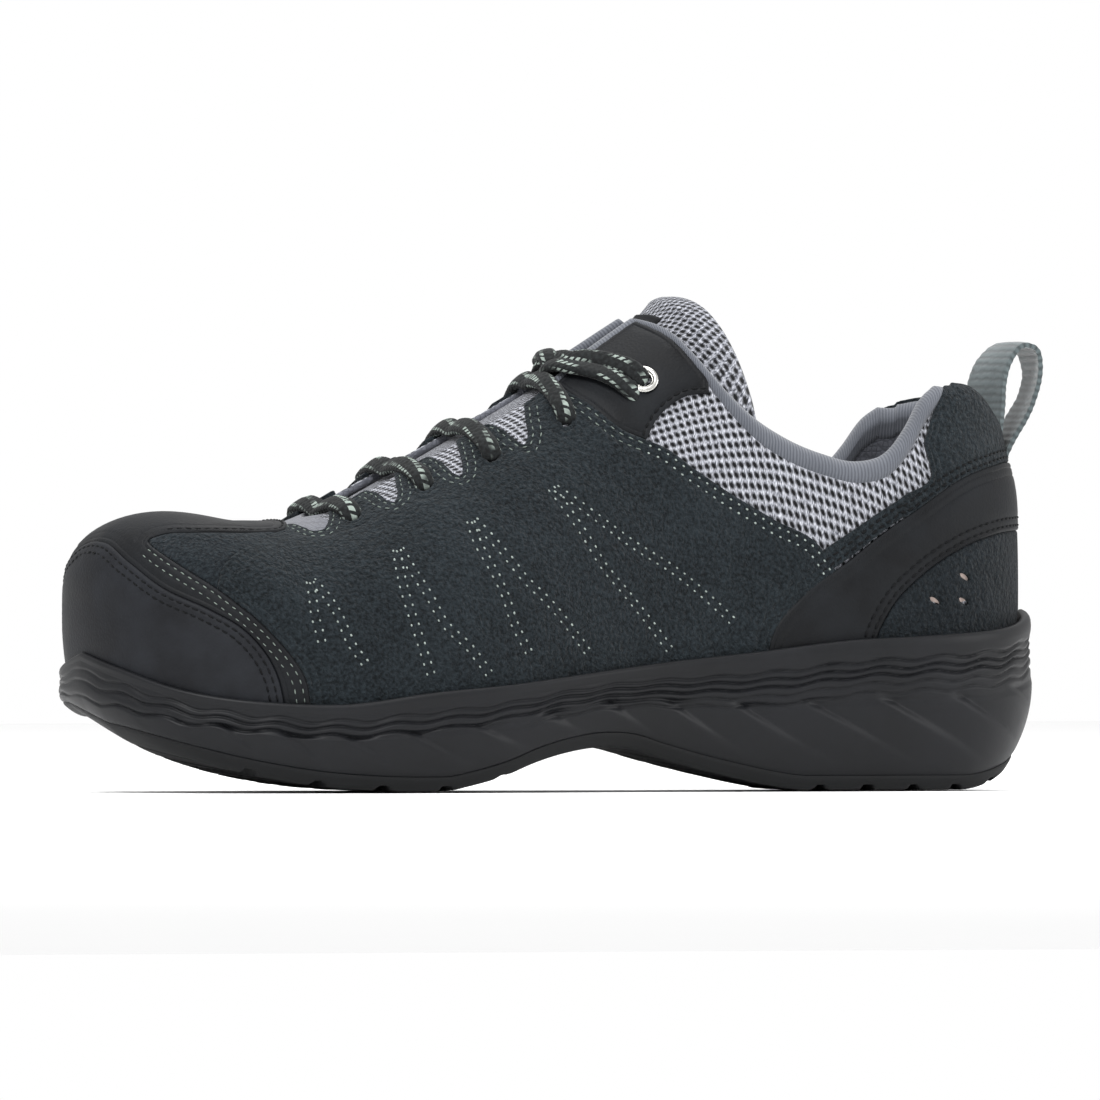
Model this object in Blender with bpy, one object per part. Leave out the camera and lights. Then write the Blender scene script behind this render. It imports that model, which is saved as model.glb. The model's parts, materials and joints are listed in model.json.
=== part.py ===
"""A low safety sneaker for the left foot, standing on its sole.

Frame: the toe points to -X, the outer side of the foot is -Y, and +Z is up.
The origin lies on the ground under the middle of the heel.

Every curved piece is worked out from one last, the form that a shoe is made on. A place on the
last has two shares: `around`, from 0 at the toe tip over the outer side to 1 at the back of the
heel and over the inner side to 2 at the toe tip again, and `up`, from 0 at the sole to 1 at the
ridge over the instep.
"""

import bisect
import functools
import math

import bmesh
import bpy
import numpy as np
from mathutils.geometry import delaunay_2d_cdt

MM = 0.001

# Driving sizes of the shoe
SHOE_LENGTH = 298 * MM
BALL_WIDTH = 107 * MM
INSTEP_HEIGHT = 136 * MM
HEEL_HEIGHT = 118 * MM
SOLE_WALL_HEIGHT = 45 * MM
HEEL_CENTRE = 0.8322 * SHOE_LENGTH
TOE_PIVOT = 0.1745 * SHOE_LENGTH
HEEL_PIVOT = 0.8792 * SHOE_LENGTH

# Walls, layers and gaps
UPPER_WALL = 2.4 * MM
COLLAR_PAD = 4.5 * MM
COLLAR_PAD_DEPTH = 30 * MM
PAD_FROM, PAD_FULL = 0.60, 0.70
OVERLAY = 1.3 * MM
TOE_CAP_OVERLAY = 1.8 * MM
GAP = 0.3 * MM
TONGUE_THICK = 5.5 * MM
INSOLE_THICK = 4.5 * MM
LACE_HOLE = 4.6 * MM
EYELET_HOLE = 6.2 * MM
EYELET_RIM = 9.0 * MM
EYELET_BORE = 1.5 * MM
EYELET_FLANGE = 1.0 * MM
LACE_WIDTH = 5.0 * MM
LACE_THICK = 2.6 * MM
LOOP_WEB_WIDTH = 20 * MM
LOOP_WEB_THICK = 1.4 * MM
LOOP_HEIGHT = 26 * MM

# Sole
OUTSOLE_THICK = 5.2 * MM
GROOVE_DEPTH = 2.2 * MM
GROOVE_WIDTH = 3.6 * MM
TOE_SPRING = 15.5 * MM
ARCH_LIFT = 12.7 * MM
HEEL_LIFT = 13 * MM
SOLE_RIM_THICK = 2.2 * MM
FLUTE_DEPTH = 1.3 * MM
STEP_DEPTH = 0.9 * MM

FLUTE_LEAN = 0.030
SIDE_WIDEST = 0.55
RIM_TUCK = 0.8 * MM
OVERLAY_ROOM = 2.4 * MM
RIM_ROOM = OVERLAY_ROOM + SOLE_RIM_THICK

# The plan of the sole: station from the toe tip as a share of SHOE_LENGTH, and the half widths of
# the outer and the inner side as shares of BALL_WIDTH
PLAN = (
    # station, outer, inner
    (0.022, 0.160, 0.285),
    (0.067, 0.315, 0.375),
    (0.134, 0.425, 0.435),
    (0.205, 0.475, 0.467),
    (0.285, 0.510, 0.480),
    (0.370, 0.520, 0.440),
    (0.470, 0.470, 0.365),
    (0.555, 0.412, 0.325),
    (0.640, 0.382, 0.325),
    (0.740, 0.374, 0.348),
    (0.840, 0.364, 0.358),
    (0.925, 0.300, 0.300),
    (0.975, 0.180, 0.185),
)
TOE_TIP = 0.052
HEEL_TIP = 0.002

# The sole's underside: two flat spots, under the forefoot and the heel, stand on the ground
GROUND = (
    # station, height
    (0.000, 1.00 * TOE_SPRING),
    (0.034, 0.78 * TOE_SPRING),
    (0.067, 0.57 * TOE_SPRING),
    (0.117, 0.31 * TOE_SPRING),
    (0.168, 0.11 * TOE_SPRING),
    (0.220, 0.0),
    (0.329, 0.0),
    (0.356, 0.11 * ARCH_LIFT),
    (0.396, 0.36 * ARCH_LIFT),
    (0.430, 0.66 * ARCH_LIFT),
    (0.463, 0.87 * ARCH_LIFT),
    (0.505, 1.00 * ARCH_LIFT),
    (0.537, 0.96 * ARCH_LIFT),
    (0.570, 0.75 * ARCH_LIFT),
    (0.620, 0.45 * ARCH_LIFT),
    (0.658, 0.25 * ARCH_LIFT),
    (0.690, 0.10 * ARCH_LIFT),
    (0.725, 0.0),
    (0.893, 0.0),
    (0.930, 0.14 * HEEL_LIFT),
    (0.962, 0.42 * HEEL_LIFT),
    (1.000, 1.00 * HEEL_LIFT),
)

# The sections of the last: share around, inset from the sole's edge as a share of RIM_ROOM,
# fullness (2 is an ellipse, more is boxier), height of the widest place and narrowing at the sole
SECTIONS = (
    # around, inset, fullness, widest, foot
    (0.00, 0.79, 4.6, 0.50, 0.930),
    (0.06, 0.81, 4.3, 0.48, 0.930),
    (0.13, 0.86, 3.6, 0.42, 0.935),
    (0.20, 0.95, 2.9, 0.36, 0.940),
    (0.28, 1.00, 2.45, 0.31, 0.950),
    (0.36, 1.05, 2.20, 0.27, 0.955),
    (0.45, 1.07, 2.10, 0.25, 0.960),
    (0.55, 1.09, 2.15, 0.22, 0.960),
    (0.66, 1.16, 2.40, 0.20, 0.965),
    (0.80, 1.21, 2.50, 0.20, 0.965),
    (0.90, 1.21, 2.35, 0.22, 0.960),
    (1.00, 1.21, 2.30, 0.25, 0.950),
)

# The ridge over the vamp and instep, and the ankle's cone behind it, as shares of INSTEP_HEIGHT,
# with the ridge's offset to the inner side as a share of BALL_WIDTH
RIDGE = (
    # station, height, aside
    (0.00, 0.580, 0.000),
    (0.175, 0.580, 0.000),
    (0.215, 0.578, 0.002),
    (0.255, 0.600, 0.005),
    (0.300, 0.648, 0.010),
    (0.345, 0.700, 0.014),
    (0.400, 0.768, 0.016),
    (0.455, 0.838, 0.014),
    (0.515, 0.918, 0.008),
    (0.575, 0.998, 0.000),
    (0.640, 1.080, -0.008),
    (0.710, 1.150, -0.010),
    (0.790, 1.160, -0.008),
    (0.875, 1.105, 0.000),
    (1.00, 1.105, 0.000),
)
TOE_SWELL = 3.0 * MM

# The floor inside the sole, on which the upper and the insole stand, as a share of SOLE_WALL_HEIGHT
FLOOR = (
    # station, height
    (0.00, 0.570),
    (0.05, 0.490),
    (0.11, 0.400),
    (0.20, 0.325),
    (0.33, 0.320),
    (0.42, 0.380),
    (0.52, 0.500),
    (0.64, 0.575),
    (0.80, 0.600),
    (1.00, 0.610),
)

# How far the sole's side wall is tucked in at the ground
SOLE_SIDE = (
    # around, tuck
    (0.00, 10 * MM),
    (0.10, 7 * MM),
    (0.25, 5 * MM),
    (0.75, 5 * MM),
    (0.90, 7 * MM),
    (1.00, 9 * MM),
)

# The top edge of the sole's wall, as a share of SOLE_WALL_HEIGHT
RIM = (
    # around, height
    (0.00, 1.020),
    (0.05, 0.850),
    (0.12, 0.670),
    (0.20, 0.580),
    (0.27, 0.562),
    (0.35, 0.635),
    (0.43, 0.690),
    (0.50, 0.755),
    (0.58, 0.825),
    (0.67, 0.890),
    (0.76, 0.965),
    (0.84, 0.995),
    (0.92, 1.045),
    (1.00, 1.160),
)

# The collar's edge: station and height as a share of HEEL_HEIGHT, from the throat to the heel
COLLAR = (
    # station, height
    (0.560, 1.160),
    (0.580, 1.155),
    (0.604, 1.125),
    (0.624, 1.060),
    (0.645, 0.990),
    (0.670, 0.925),
    (0.705, 0.865),
    (0.745, 0.822),
    (0.785, 0.802),
    (0.815, 0.824),
    (0.842, 0.892),
    (0.862, 0.960),
    (0.879, 0.992),
)
# The collar behind the ankle: share around and height as a share of HEEL_HEIGHT
COLLAR_BACK = (
    # around, height
    (0.882, 1.000),
    (0.915, 0.990),
    (0.955, 0.935),
    (0.985, 0.895),
    (1.000, 0.888),
)

# The throat: station and half of its opening as a share of BALL_WIDTH
THROAT = (
    # station, half opening
    (0.245, 0.000),
    (0.252, 0.058),
    (0.270, 0.092),
    (0.320, 0.112),
    (0.400, 0.125),
    (0.480, 0.135),
    (0.545, 0.145),
    (0.575, 0.150),
)

# Stations between the grid's columns at which the throat's and the collar's edge turn
THROAT_STEPS = (0.2455, 0.249, 0.256)
COLLAR_STEPS = (0.580, 0.600, 0.842)

# The tongue: station and half width as a share of BALL_WIDTH, and the station of its top
TONGUE = (
    # station, half width
    (0.222, 0.210),
    (0.300, 0.250),
    (0.400, 0.280),
    (0.500, 0.300),
    (0.600, 0.310),
    (0.650, 0.305),
    (0.672, 0.285),
)
TONGUE_TOP = 0.625

# Lace holes on each side, from the toe: share around and share up. The last has a metal eyelet
LACE_HOLES = (
    # around, up
    (0.307, 0.750),
    (0.372, 0.719),
    (0.434, 0.694),
    (0.505, 0.668),
    (0.578, 0.640),
)

# Seams of the upper's panels on the outer side as shares around and up
TOE_CAP_SEAM = (
    (0.000, 0.668),
    (0.018, 0.660),
    (0.058, 0.600),
    (0.103, 0.505),
    (0.152, 0.428),
    (0.180, 0.370),
    (0.200, 0.295),
    (0.212, 0.220),
    (0.220, 0.120),
    (0.222, 0.030),
)
TOE_BAND_SEAM = (
    (0.245, 0.030),
    (0.243, 0.120),
    (0.238, 0.200),
    (0.224, 0.285),
    (0.212, 0.338),
    (0.197, 0.395),
    (0.177, 0.452),
    (0.155, 0.508),
)
VAMP_CORNER = (
    (0.125, 0.566),
    (0.095, 0.620),
    (0.075, 0.655),
    (0.070, 0.676),
    (0.078, 0.692),
)
STRIP_SEAM = (
    (0.125, 0.706),
    (0.185, 0.738),
    (0.245, 0.786),
)
VAMP_SEAM = (
    (0.245, 0.786),
    (0.212, 0.706),
    (0.180, 0.640),
    (0.162, 0.590),
    (0.155, 0.508),
)
STRIP_END = ((0.258, 0.880), (0.262, 1.000))
QUARTER_TIP = ((0.251, 0.830), (0.257, 0.868), (0.266, 0.800))
SCALLOPS = (
    # front, back, depth as a share up
    (0.268, 0.299, 0.705),
    (0.318, 0.362, 0.675),
    (0.382, 0.424, 0.655),
    (0.446, 0.490, 0.640),
)
EYESTAY_SEAM = (
    (0.527, 0.672),
    (0.552, 0.552),
    (0.572, 0.502),
)
EYESTAY_BACK = (
    (0.584, 0.532),
    (0.612, 0.545),
    (0.634, 0.524),
)
COLLAR_MESH_SEAM = (
    (0.588, 0.468),
    (0.615, 0.400),
    (0.640, 0.350),
    (0.688, 0.277),
    (0.734, 0.225),
    (0.747, 0.192),
)
HEEL_STRAP_SEAM = (
    (0.680, 0.030),
    (0.686, 0.094),
    (0.713, 0.150),
    (0.760, 0.206),
    (0.812, 0.275),
    (0.865, 0.344),
    (0.930, 0.378),
    (1.000, 0.386),
)
HEEL_MESH_SEAM = (
    (0.750, 0.200),
    (0.741, 0.229),
    (0.777, 0.266),
    (0.815, 0.314),
    (0.843, 0.362),
    (0.838, 0.405),
)
HEEL_PATCH_SEAM = (
    (0.783, 0.030),
    (0.786, 0.088),
    (0.797, 0.128),
    (0.828, 0.190),
    (0.870, 0.240),
    (0.910, 0.262),
    (0.955, 0.270),
    (1.000, 0.272),
)
HEEL_COLLAR_FROM = 0.848
EDGE_SETBACK = 0.022
SCALLOP_ROUND = 0.075
SCALLOP_FLARE = 0.008

# The crossing above the bars: its middle and its ends as shares around, and the offset of the
# laces' middle line from the last at the ridge and at those ends
CROSS_MIDDLE = 0.542
CROSS_FOOT = 0.524
LACE_CREST = 2.4 * MM
LACE_FOOT = 0.4 * MM

# Where tread grooves cross the sole's middle line, as stations
GROOVES = (0.115, 0.175, 0.235, 0.295, 0.355, 0.715, 0.765, 0.815, 0.865, 0.915)
GROOVE_SLANT = 0.22

# The pull loop's middle line from the heel's outside, over the top and down in front of it, as
# shares of LOOP_HEIGHT behind and above the collar's back edge
LOOP = (
    # behind, above
    (0.175, -0.40),
    (0.155, -0.12),
    (0.20, 0.20),
    (0.31, 0.54),
    (0.33, 0.80),
    (0.21, 1.00),
    (0.04, 0.94),
    (-0.11, 0.66),
    (-0.18, 0.36),
    (-0.18, 0.19),
)

# The grid on the last that all curved pieces share
TOE_COLUMNS = 8
SIDE_COLUMNS = 15
HEEL_COLUMNS = 6
ROWS = 8
TOE_SHARE = 0.22
HEEL_SHARE = 0.86
PATTERN_AROUND = 345 * MM
PATTERN_UP = 105 * MM


def clear_scene():
    for obj in list(bpy.data.objects):
        bpy.data.objects.remove(obj)


def material(name, colour, roughness, metallic=0.0):
    made = bpy.data.materials.new(name)
    made.use_nodes = True
    shader = made.node_tree.nodes["Principled BSDF"]
    shader.inputs["Base Color"].default_value = (*colour, 1)
    shader.inputs["Roughness"].default_value = roughness
    shader.inputs["Metallic"].default_value = metallic
    made.diffuse_color = (*colour, 1)
    return made


@functools.cache
def curve_of(table, column):
    """The rows of a table's column as a curve: places, values and slopes that never overshoot."""
    xs = np.array([row[0] for row in table])
    ys = np.array([row[column] for row in table])
    slopes = np.gradient(ys, xs)
    for i, rise in enumerate(np.diff(ys) / np.diff(xs)):
        limit = 3 * abs(rise)
        slopes[i] = np.clip(slopes[i], -limit, limit)
        slopes[i + 1] = np.clip(slopes[i + 1], -limit, limit)
    return xs.tolist(), ys.tolist(), slopes.tolist()


def along(table, column, share):
    """Reads one column of a table at a share, on a smooth curve through its rows."""
    xs, ys, slopes = curve_of(table, column)
    share = min(max(float(share), xs[0]), xs[-1])
    i = min(bisect.bisect_right(xs, share) - 1, len(xs) - 2)
    step = xs[i + 1] - xs[i]
    t = (share - xs[i]) / step
    return (
        (2 * t**3 - 3 * t**2 + 1) * ys[i]
        + (t**3 - 2 * t**2 + t) * step * slopes[i]
        + (3 * t**2 - 2 * t**3) * ys[i + 1]
        + (t**3 - t**2) * step * slopes[i + 1]
    )


def closed_curve(points, per_point=24):
    """A closed curve with no kinks through the points, as many samples to each of them."""
    points = np.array(points, float)
    count = len(points)
    chords = np.linalg.norm(np.roll(points, -1, 0) - points, axis=1)
    system = np.zeros((count, count))
    right = np.zeros((count, 2))
    for i in range(count):
        before = chords[i - 1]
        after = chords[i]
        system[i, i - 1] += after
        system[i, i] += 2 * (before + after)
        system[i, (i + 1) % count] += before
        right[i] = 3 * (
            after * (points[i] - points[i - 1]) / before
            + before * (points[(i + 1) % count] - points[i]) / after
        )
    slopes = np.linalg.solve(system, right)
    t = np.linspace(0, 1, per_point, endpoint=False)[:, None]
    samples = []
    for i in range(count):
        j = (i + 1) % count
        samples.append(
            (2 * t**3 - 3 * t**2 + 1) * points[i]
            + (t**3 - 2 * t**2 + t) * chords[i] * slopes[i]
            + (3 * t**2 - 2 * t**3) * points[j]
            + (t**3 - t**2) * chords[i] * slopes[j]
        )
    return np.concatenate(samples)


def sole_plan():
    """The sole's outline from above, as samples on its outer and on its inner side."""
    tip = [(0.0, TOE_TIP * BALL_WIDTH)]
    outer = [(s * SHOE_LENGTH, -o * BALL_WIDTH) for s, o, _ in PLAN]
    heel = [(SHOE_LENGTH, HEEL_TIP * BALL_WIDTH)]
    inner = [(s * SHOE_LENGTH, i * BALL_WIDTH) for s, _, i in reversed(PLAN)]
    loop = closed_curve(tip + outer + heel + inner)
    back = int(np.argmax(loop[:, 0]))
    front = int(np.argmin(loop[:, 0]))
    loop = np.roll(loop, -front, 0)
    back = (back - front) % len(loop)
    return loop[: back + 1], np.concatenate([loop[back:], loop[:1]])[::-1]


OUTER_PLAN, INNER_PLAN = sole_plan()


def mirrored(around):
    """The share on the outer side that an inner share mirrors, as the tables are read."""
    return 2 - around if around > 1 else around


def spine(station):
    """The line inside the shoe from which every section runs outwards."""
    return np.array([station * SHOE_LENGTH, along(RIDGE, 2, station) * BALL_WIDTH])


@functools.cache
def edge_seen(x, y, side):
    """The sole's edge on one side as bearings and distances from a point, 0 being toward the toe."""
    base = np.array([x, y])
    edge, other = (OUTER_PLAN, INNER_PLAN) if side < 0 else (INNER_PLAN, OUTER_PLAN)
    edge = np.concatenate([other[40:0:-1], edge, other[-2:-40:-1]])
    bearing = np.arctan2(side * (edge[:, 1] - base[1]), base[0] - edge[:, 0])
    reach = np.linalg.norm(edge - base, axis=1)
    return np.unwrap(bearing), reach


@functools.cache
def plan_place(around):
    """The spine's point, the way outwards and the sole's half width at one share around."""
    share = mirrored(around)
    side = 1 if around > 1 else -1
    if share < TOE_SHARE:
        base = spine(TOE_PIVOT / SHOE_LENGTH)
        wanted = math.pi / 2 * share / TOE_SHARE
    elif share > HEEL_SHARE:
        base = spine(HEEL_PIVOT / SHOE_LENGTH)
        wanted = math.pi / 2 * (1 + (share - HEEL_SHARE) / (1 - HEEL_SHARE))
    else:
        part = (share - TOE_SHARE) / (HEEL_SHARE - TOE_SHARE)
        base = spine((TOE_PIVOT + part * (HEEL_PIVOT - TOE_PIVOT)) / SHOE_LENGTH)
        wanted = math.pi / 2
    way = np.array([-math.cos(wanted), side * math.sin(wanted)])
    return base, way, float(np.interp(wanted, *edge_seen(*base, side)))


def last_point(around, up):
    """The point of the last at two shares."""
    share = mirrored(around)
    base, way, half = plan_place(around)
    full = along(SECTIONS, 2, share)
    widest = along(SECTIONS, 3, share)
    foot = along(SECTIONS, 4, share)
    reach = half - along(SECTIONS, 1, share) * RIM_ROOM
    station = (base[0] + way[0] * reach) / SHOE_LENGTH
    low = along(FLOOR, 1, station) * SOLE_WALL_HEIGHT + GAP
    high = along(RIDGE, 1, base[0] / SHOE_LENGTH) * INSTEP_HEIGHT
    turn_at = widest / (widest + (1 - widest) * math.pi / 2)
    if up < turn_at:
        out = foot + (1 - foot) * math.sin(math.pi / 2 * up / turn_at)
        rise = widest * up / turn_at
    else:
        angle = (up - turn_at) / (1 - turn_at) * math.pi / 2
        cos, sin = max(math.cos(angle), 0.0), math.sin(angle)
        radius = (cos**full + sin**full) ** (-1 / full)
        out = radius * cos
        rise = widest + (1 - widest) * radius * sin
    swell = 0.0
    if share < TOE_SHARE:
        swell = TOE_SWELL * 16 * out**2 * (1 - min(out, 1)) ** 2
        swell *= math.cos(share / TOE_SHARE * math.pi / 2) ** 2
    flat = base + way * reach * out
    return np.array([flat[0], flat[1], low + (high - low) * rise + swell])


def last_normal(around, up):
    """The way out of the last at two shares."""
    near = 1e-3
    up = min(max(up, near), 1 - 2 * near)
    a = last_point((around - near) % 2, up)
    b = last_point((around + near) % 2, up)
    c = last_point(around, up - near)
    d = last_point(around, up + near)
    normal = np.cross(b - a, d - c)
    size = np.linalg.norm(normal)
    return normal / size if size > 1e-14 else np.array([0.0, 0.0, 1.0])


def station_of(share):
    return plan_place(share)[0][0] / SHOE_LENGTH


def share_at(station):
    """The share around of a station between the two pivots."""
    part = (station * SHOE_LENGTH - TOE_PIVOT) / (HEEL_PIVOT - TOE_PIVOT)
    return TOE_SHARE + part * (HEEL_SHARE - TOE_SHARE)


def solve_up(measure, wanted):
    """The share up at which a rising measure reaches the wanted value."""
    low, high = 0.0, 1.0
    for _ in range(24):
        middle = (low + high) / 2
        if measure(middle) < wanted:
            low = middle
        else:
            high = middle
    return (low + high) / 2


THROAT_SHARE = share_at(THROAT[0][0])


def up_beside(around, beside):
    """The share up at a distance from the ridge, seen from above."""
    middle = plan_place(around)[0][1]
    return solve_up(lambda up: -abs(last_point(around, up)[1] - middle), -beside)


def up_at_height(around, height):
    return solve_up(lambda up: last_point(around, up)[2], height)


def collar_up(around):
    """The share up of the upper's top edge: the ridge, then the throat, then the collar."""
    share = mirrored(around)
    if share <= THROAT_SHARE:
        return 1.0
    station = station_of(share)
    if share > COLLAR_BACK[0][0]:
        return up_at_height(around, along(COLLAR_BACK, 1, share) * HEEL_HEIGHT)
    throat = up_beside(around, along(THROAT, 1, station) * BALL_WIDTH)
    if station < COLLAR[0][0]:
        return throat
    return min(throat, up_at_height(around, along(COLLAR, 1, station) * HEEL_HEIGHT))


def column_shares():
    """The shares around of the grid's columns on the outer side, toe tip to heel."""
    toe = np.linspace(0, TOE_SHARE, TOE_COLUMNS, endpoint=False)
    side = np.linspace(TOE_SHARE, HEEL_SHARE, SIDE_COLUMNS, endpoint=False)
    heel = np.linspace(HEEL_SHARE, 1, HEEL_COLUMNS)
    return np.concatenate([toe, side, heel])


OUTER_COLUMNS = column_shares()
COLUMNS = np.concatenate([OUTER_COLUMNS, 2 - OUTER_COLUMNS[-2::-1]])
LEVELS = np.linspace(0, 1, ROWS + 1)
TOPS = np.array([collar_up(a) for a in COLUMNS])


def wall_at(column, up):
    """The wall's thickness, which the collar's foam adds to behind the instep."""
    share = mirrored(COLUMNS[column])
    top = TOPS[column]
    edge = last_point(COLUMNS[column], top)
    depth = np.linalg.norm(edge - last_point(COLUMNS[column], min(up, top)))
    back = float(np.clip((share - PAD_FROM) / (PAD_FULL - PAD_FROM), 0, 1))
    near = float(np.clip(1 - depth / COLLAR_PAD_DEPTH, 0, 1))
    return UPPER_WALL + COLLAR_PAD * back**2 * (3 - 2 * back) * near**2 * (3 - 2 * near)


def grid_normals():
    """The ways out at the grid's points, level at the sole and one and the same at the ridge."""
    normals = np.array([[last_normal(a, u) for u in LEVELS] for a in COLUMNS])
    normals[:, 0, 2] = 0
    normals[:, -1] += normals[::-1, -1].copy()
    pole = mirrored_all(COLUMNS) <= TOE_SHARE + 1e-9
    normals[pole, -1] = normals[pole, -1].sum(0)
    return normals / np.linalg.norm(normals, axis=2, keepdims=True)


def mirrored_all(shares):
    return np.minimum(shares, 2 - shares)


POINTS = np.array([[last_point(a, u) for u in LEVELS] for a in COLUMNS])
NORMALS = grid_normals()
WALLS = np.array([[wall_at(i, u) for u in LEVELS] for i in range(len(COLUMNS))])


def on_facets(around, up, offset, inside=False):
    """A point on the grid's facets, moved out by offset from the wall's outer or inner face."""
    i = int(np.clip(np.searchsorted(COLUMNS, around, side="right") - 1, 0, len(COLUMNS) - 2))
    j = int(np.clip(up * ROWS, 0, ROWS - 1))
    s = (around - COLUMNS[i]) / (COLUMNS[i + 1] - COLUMNS[i])
    t = up * ROWS - j
    if s >= t:
        corners = ((i, j, 1 - s), (i + 1, j, s - t), (i + 1, j + 1, t))
    else:
        corners = ((i, j, 1 - t), (i + 1, j + 1, s), (i, j + 1, t - s))
    point = np.zeros(3)
    for a, b, weight in corners:
        out = offset - (WALLS[a, b] if inside else 0)
        point += weight * (POINTS[a, b] + out * NORMALS[a, b])
    return point


def placed(point):
    """The point in the shoe's frame, with the origin under the heel."""
    return (point[0] - HEEL_CENTRE, point[1], point[2])


def other_side(point):
    """The point mirrored over the spine, which isn't straight."""
    station = point[0] / SHOE_LENGTH
    return np.array([point[0], 2 * along(RIDGE, 2, station) * BALL_WIDTH - point[1], point[2]])


def new_object(name, points, faces, finish, merge=1e-5):
    mesh = bpy.data.meshes.new(name)
    mesh.from_pydata([placed(p) for p in points], [], faces)
    work = bmesh.new()
    work.from_mesh(mesh)
    bmesh.ops.remove_doubles(work, verts=work.verts, dist=merge)
    bmesh.ops.recalc_face_normals(work, faces=work.faces)
    work.to_mesh(mesh)
    work.free()
    mesh.shade_smooth()
    mesh.set_sharp_from_angle(angle=math.radians(40))
    mesh.materials.append(finish)
    made = bpy.data.objects.new(name, mesh)
    bpy.context.scene.collection.objects.link(made)
    return made


def turning(loop):
    """Twice the area inside a loop, positive when it runs counterclockwise."""
    following = np.roll(loop, -1, 0)
    return float(np.sum(loop[:, 0] * following[:, 1] - following[:, 0] * loop[:, 1]))


def flat_pattern(outline, holes=()):
    """Triangles of a pattern piece, cut along the outline and along every facet of the grid."""
    size = np.array([PATTERN_AROUND, PATTERN_UP]) * 1000
    loops = [np.array(outline) * size] + [np.array(hole) * size for hole in holes]
    verts, edges, faces = [], [], []
    for loop in loops:
        start = len(verts)
        verts.extend(map(tuple, loop if turning(loop) > 0 else loop[::-1]))
        faces.append(list(range(start, len(verts))))
    low, high = np.array(outline).min(0), np.array(outline).max(0)
    cells = np.flatnonzero((COLUMNS[1:] > low[0]) & (COLUMNS[:-1] < high[0]))
    first, last = int(low[1] * ROWS), min(int(math.ceil(high[1] * ROWS)), ROWS)
    columns = range(cells[0], cells[-1] + 2)
    index = {}
    for i in columns:
        for j in range(first, last + 1):
            index[i, j] = len(verts)
            verts.append((COLUMNS[i] * size[0], LEVELS[j] * size[1]))
    for i, j in index:
        for step in ((1, 0), (0, 1), (1, 1)):
            other = (i + step[0], j + step[1])
            if other in index:
                edges.append((index[i, j], index[other]))
    verts, _, triangles, _, _, owners = delaunay_2d_cdt(verts, edges, faces, 0, 1e-3)
    kept = [t for t, own in zip(triangles, owners) if 0 in own and len(own) == 1]
    used = sorted({v for t in kept for v in t})
    number = {v: n for n, v in enumerate(used)}
    shares = [(verts[v][0] / size[0], verts[v][1] / size[1]) for v in used]
    return shares, [[number[v] for v in t] for t in kept]


def on_seam(one, other):
    """Whether an edge of a pattern lies where the last's two sides meet."""
    return (
        min(one[1], other[1]) > 1 - 1e-6
        or max(one[0], other[0]) < 1e-6
        or min(one[0], other[0]) > 2 - 1e-6
    )


def layer(name, outlines, low, high, finish, holes=()):
    """A closed layer on the last in its patterns' outlines.

    low and high are offsets, each with whether it counts from the wall's inner face.
    """
    points, faces = [], []
    for outline in outlines:
        shares, triangles = flat_pattern(outline, holes)
        start, count = len(points), len(shares)
        points += [on_facets(a, u, *high) for a, u in shares]
        points += [on_facets(a, u, *low) for a, u in shares]
        edges = {(t[k], t[(k + 1) % 3]) for t in triangles for k in range(3)}
        faces += [[start + v for v in t] for t in triangles]
        faces += [[start + count + v for v in reversed(t)] for t in triangles]
        for a, b in edges:
            if (b, a) not in edges and not on_seam(shares[a], shares[b]):
                faces.append([start + v for v in (b, a, count + a, count + b)])
    return new_object(name, points, faces, finish)


def round_hole(around, up, radius, corners=8):
    """A hole's outline in shares of the pattern, round on the finished last."""
    middle = last_point(around, up)
    step = 0.01
    across = np.linalg.norm(last_point(around + step, up) - middle) / step
    rise = np.linalg.norm(last_point(around, up - step) - middle) / step
    turns = np.arange(corners) * 2 * math.pi / corners
    return [
        (around + radius / across * math.cos(t), up + radius / rise * math.sin(t))
        for t in turns
    ]


def both_sides(outline):
    """A pattern of the outer side and its mirror image on the inner side."""
    return [outline, [(2 - a, u) for a, u in reversed(outline)]]


def ground(x):
    """How high the sole's underside is over the ground."""
    return along(GROUND, 1, x / SHOE_LENGTH)


def floor_height(x):
    return along(FLOOR, 1, x / SHOE_LENGTH) * SOLE_WALL_HEIGHT


def side_place(around, rise, press=0.0):
    """A place on the sole's side wall, rise being its share of the height from ground to rim."""
    share = mirrored(around)
    base, way, half = plan_place(around)
    tuck = along(SOLE_SIDE, 1, share) * max(0.0, 1 - rise / SIDE_WIDEST) ** 2
    tuck += RIM_TUCK * max(0.0, (rise - SIDE_WIDEST) / (1 - SIDE_WIDEST)) ** 2
    flat = base + way * (half - tuck - press)
    bottom = base + way * (half - along(SOLE_SIDE, 1, share))
    low = ground(bottom[0])
    high = along(RIM, 1, share) * SOLE_WALL_HEIGHT
    return np.array([flat[0], flat[1], low + rise * (high - low)])


def rise_of(around, height):
    """The share of the side wall's height at a height over the sole's underside."""
    share = mirrored(around)
    return height / (along(RIM, 1, share) * SOLE_WALL_HEIGHT - side_place(around, 0)[2])


def side_ring(height=None, rise=None, press=0.0, flute=0.0, lean=0.0):
    """A ring round the side wall, pressed in by press and in its every other column by flute."""
    ring = []
    for i, around in enumerate(COLUMNS[:-1]):
        shift = lean * FLUTE_LEAN * math.sin(math.pi * mirrored(around))
        moved = around - shift if around < 1 else around + shift
        here = rise if height is None else rise_of(moved, height)
        ring.append(side_place(moved, here, press + (flute if i % 2 else 0.0)))
    return ring


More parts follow.
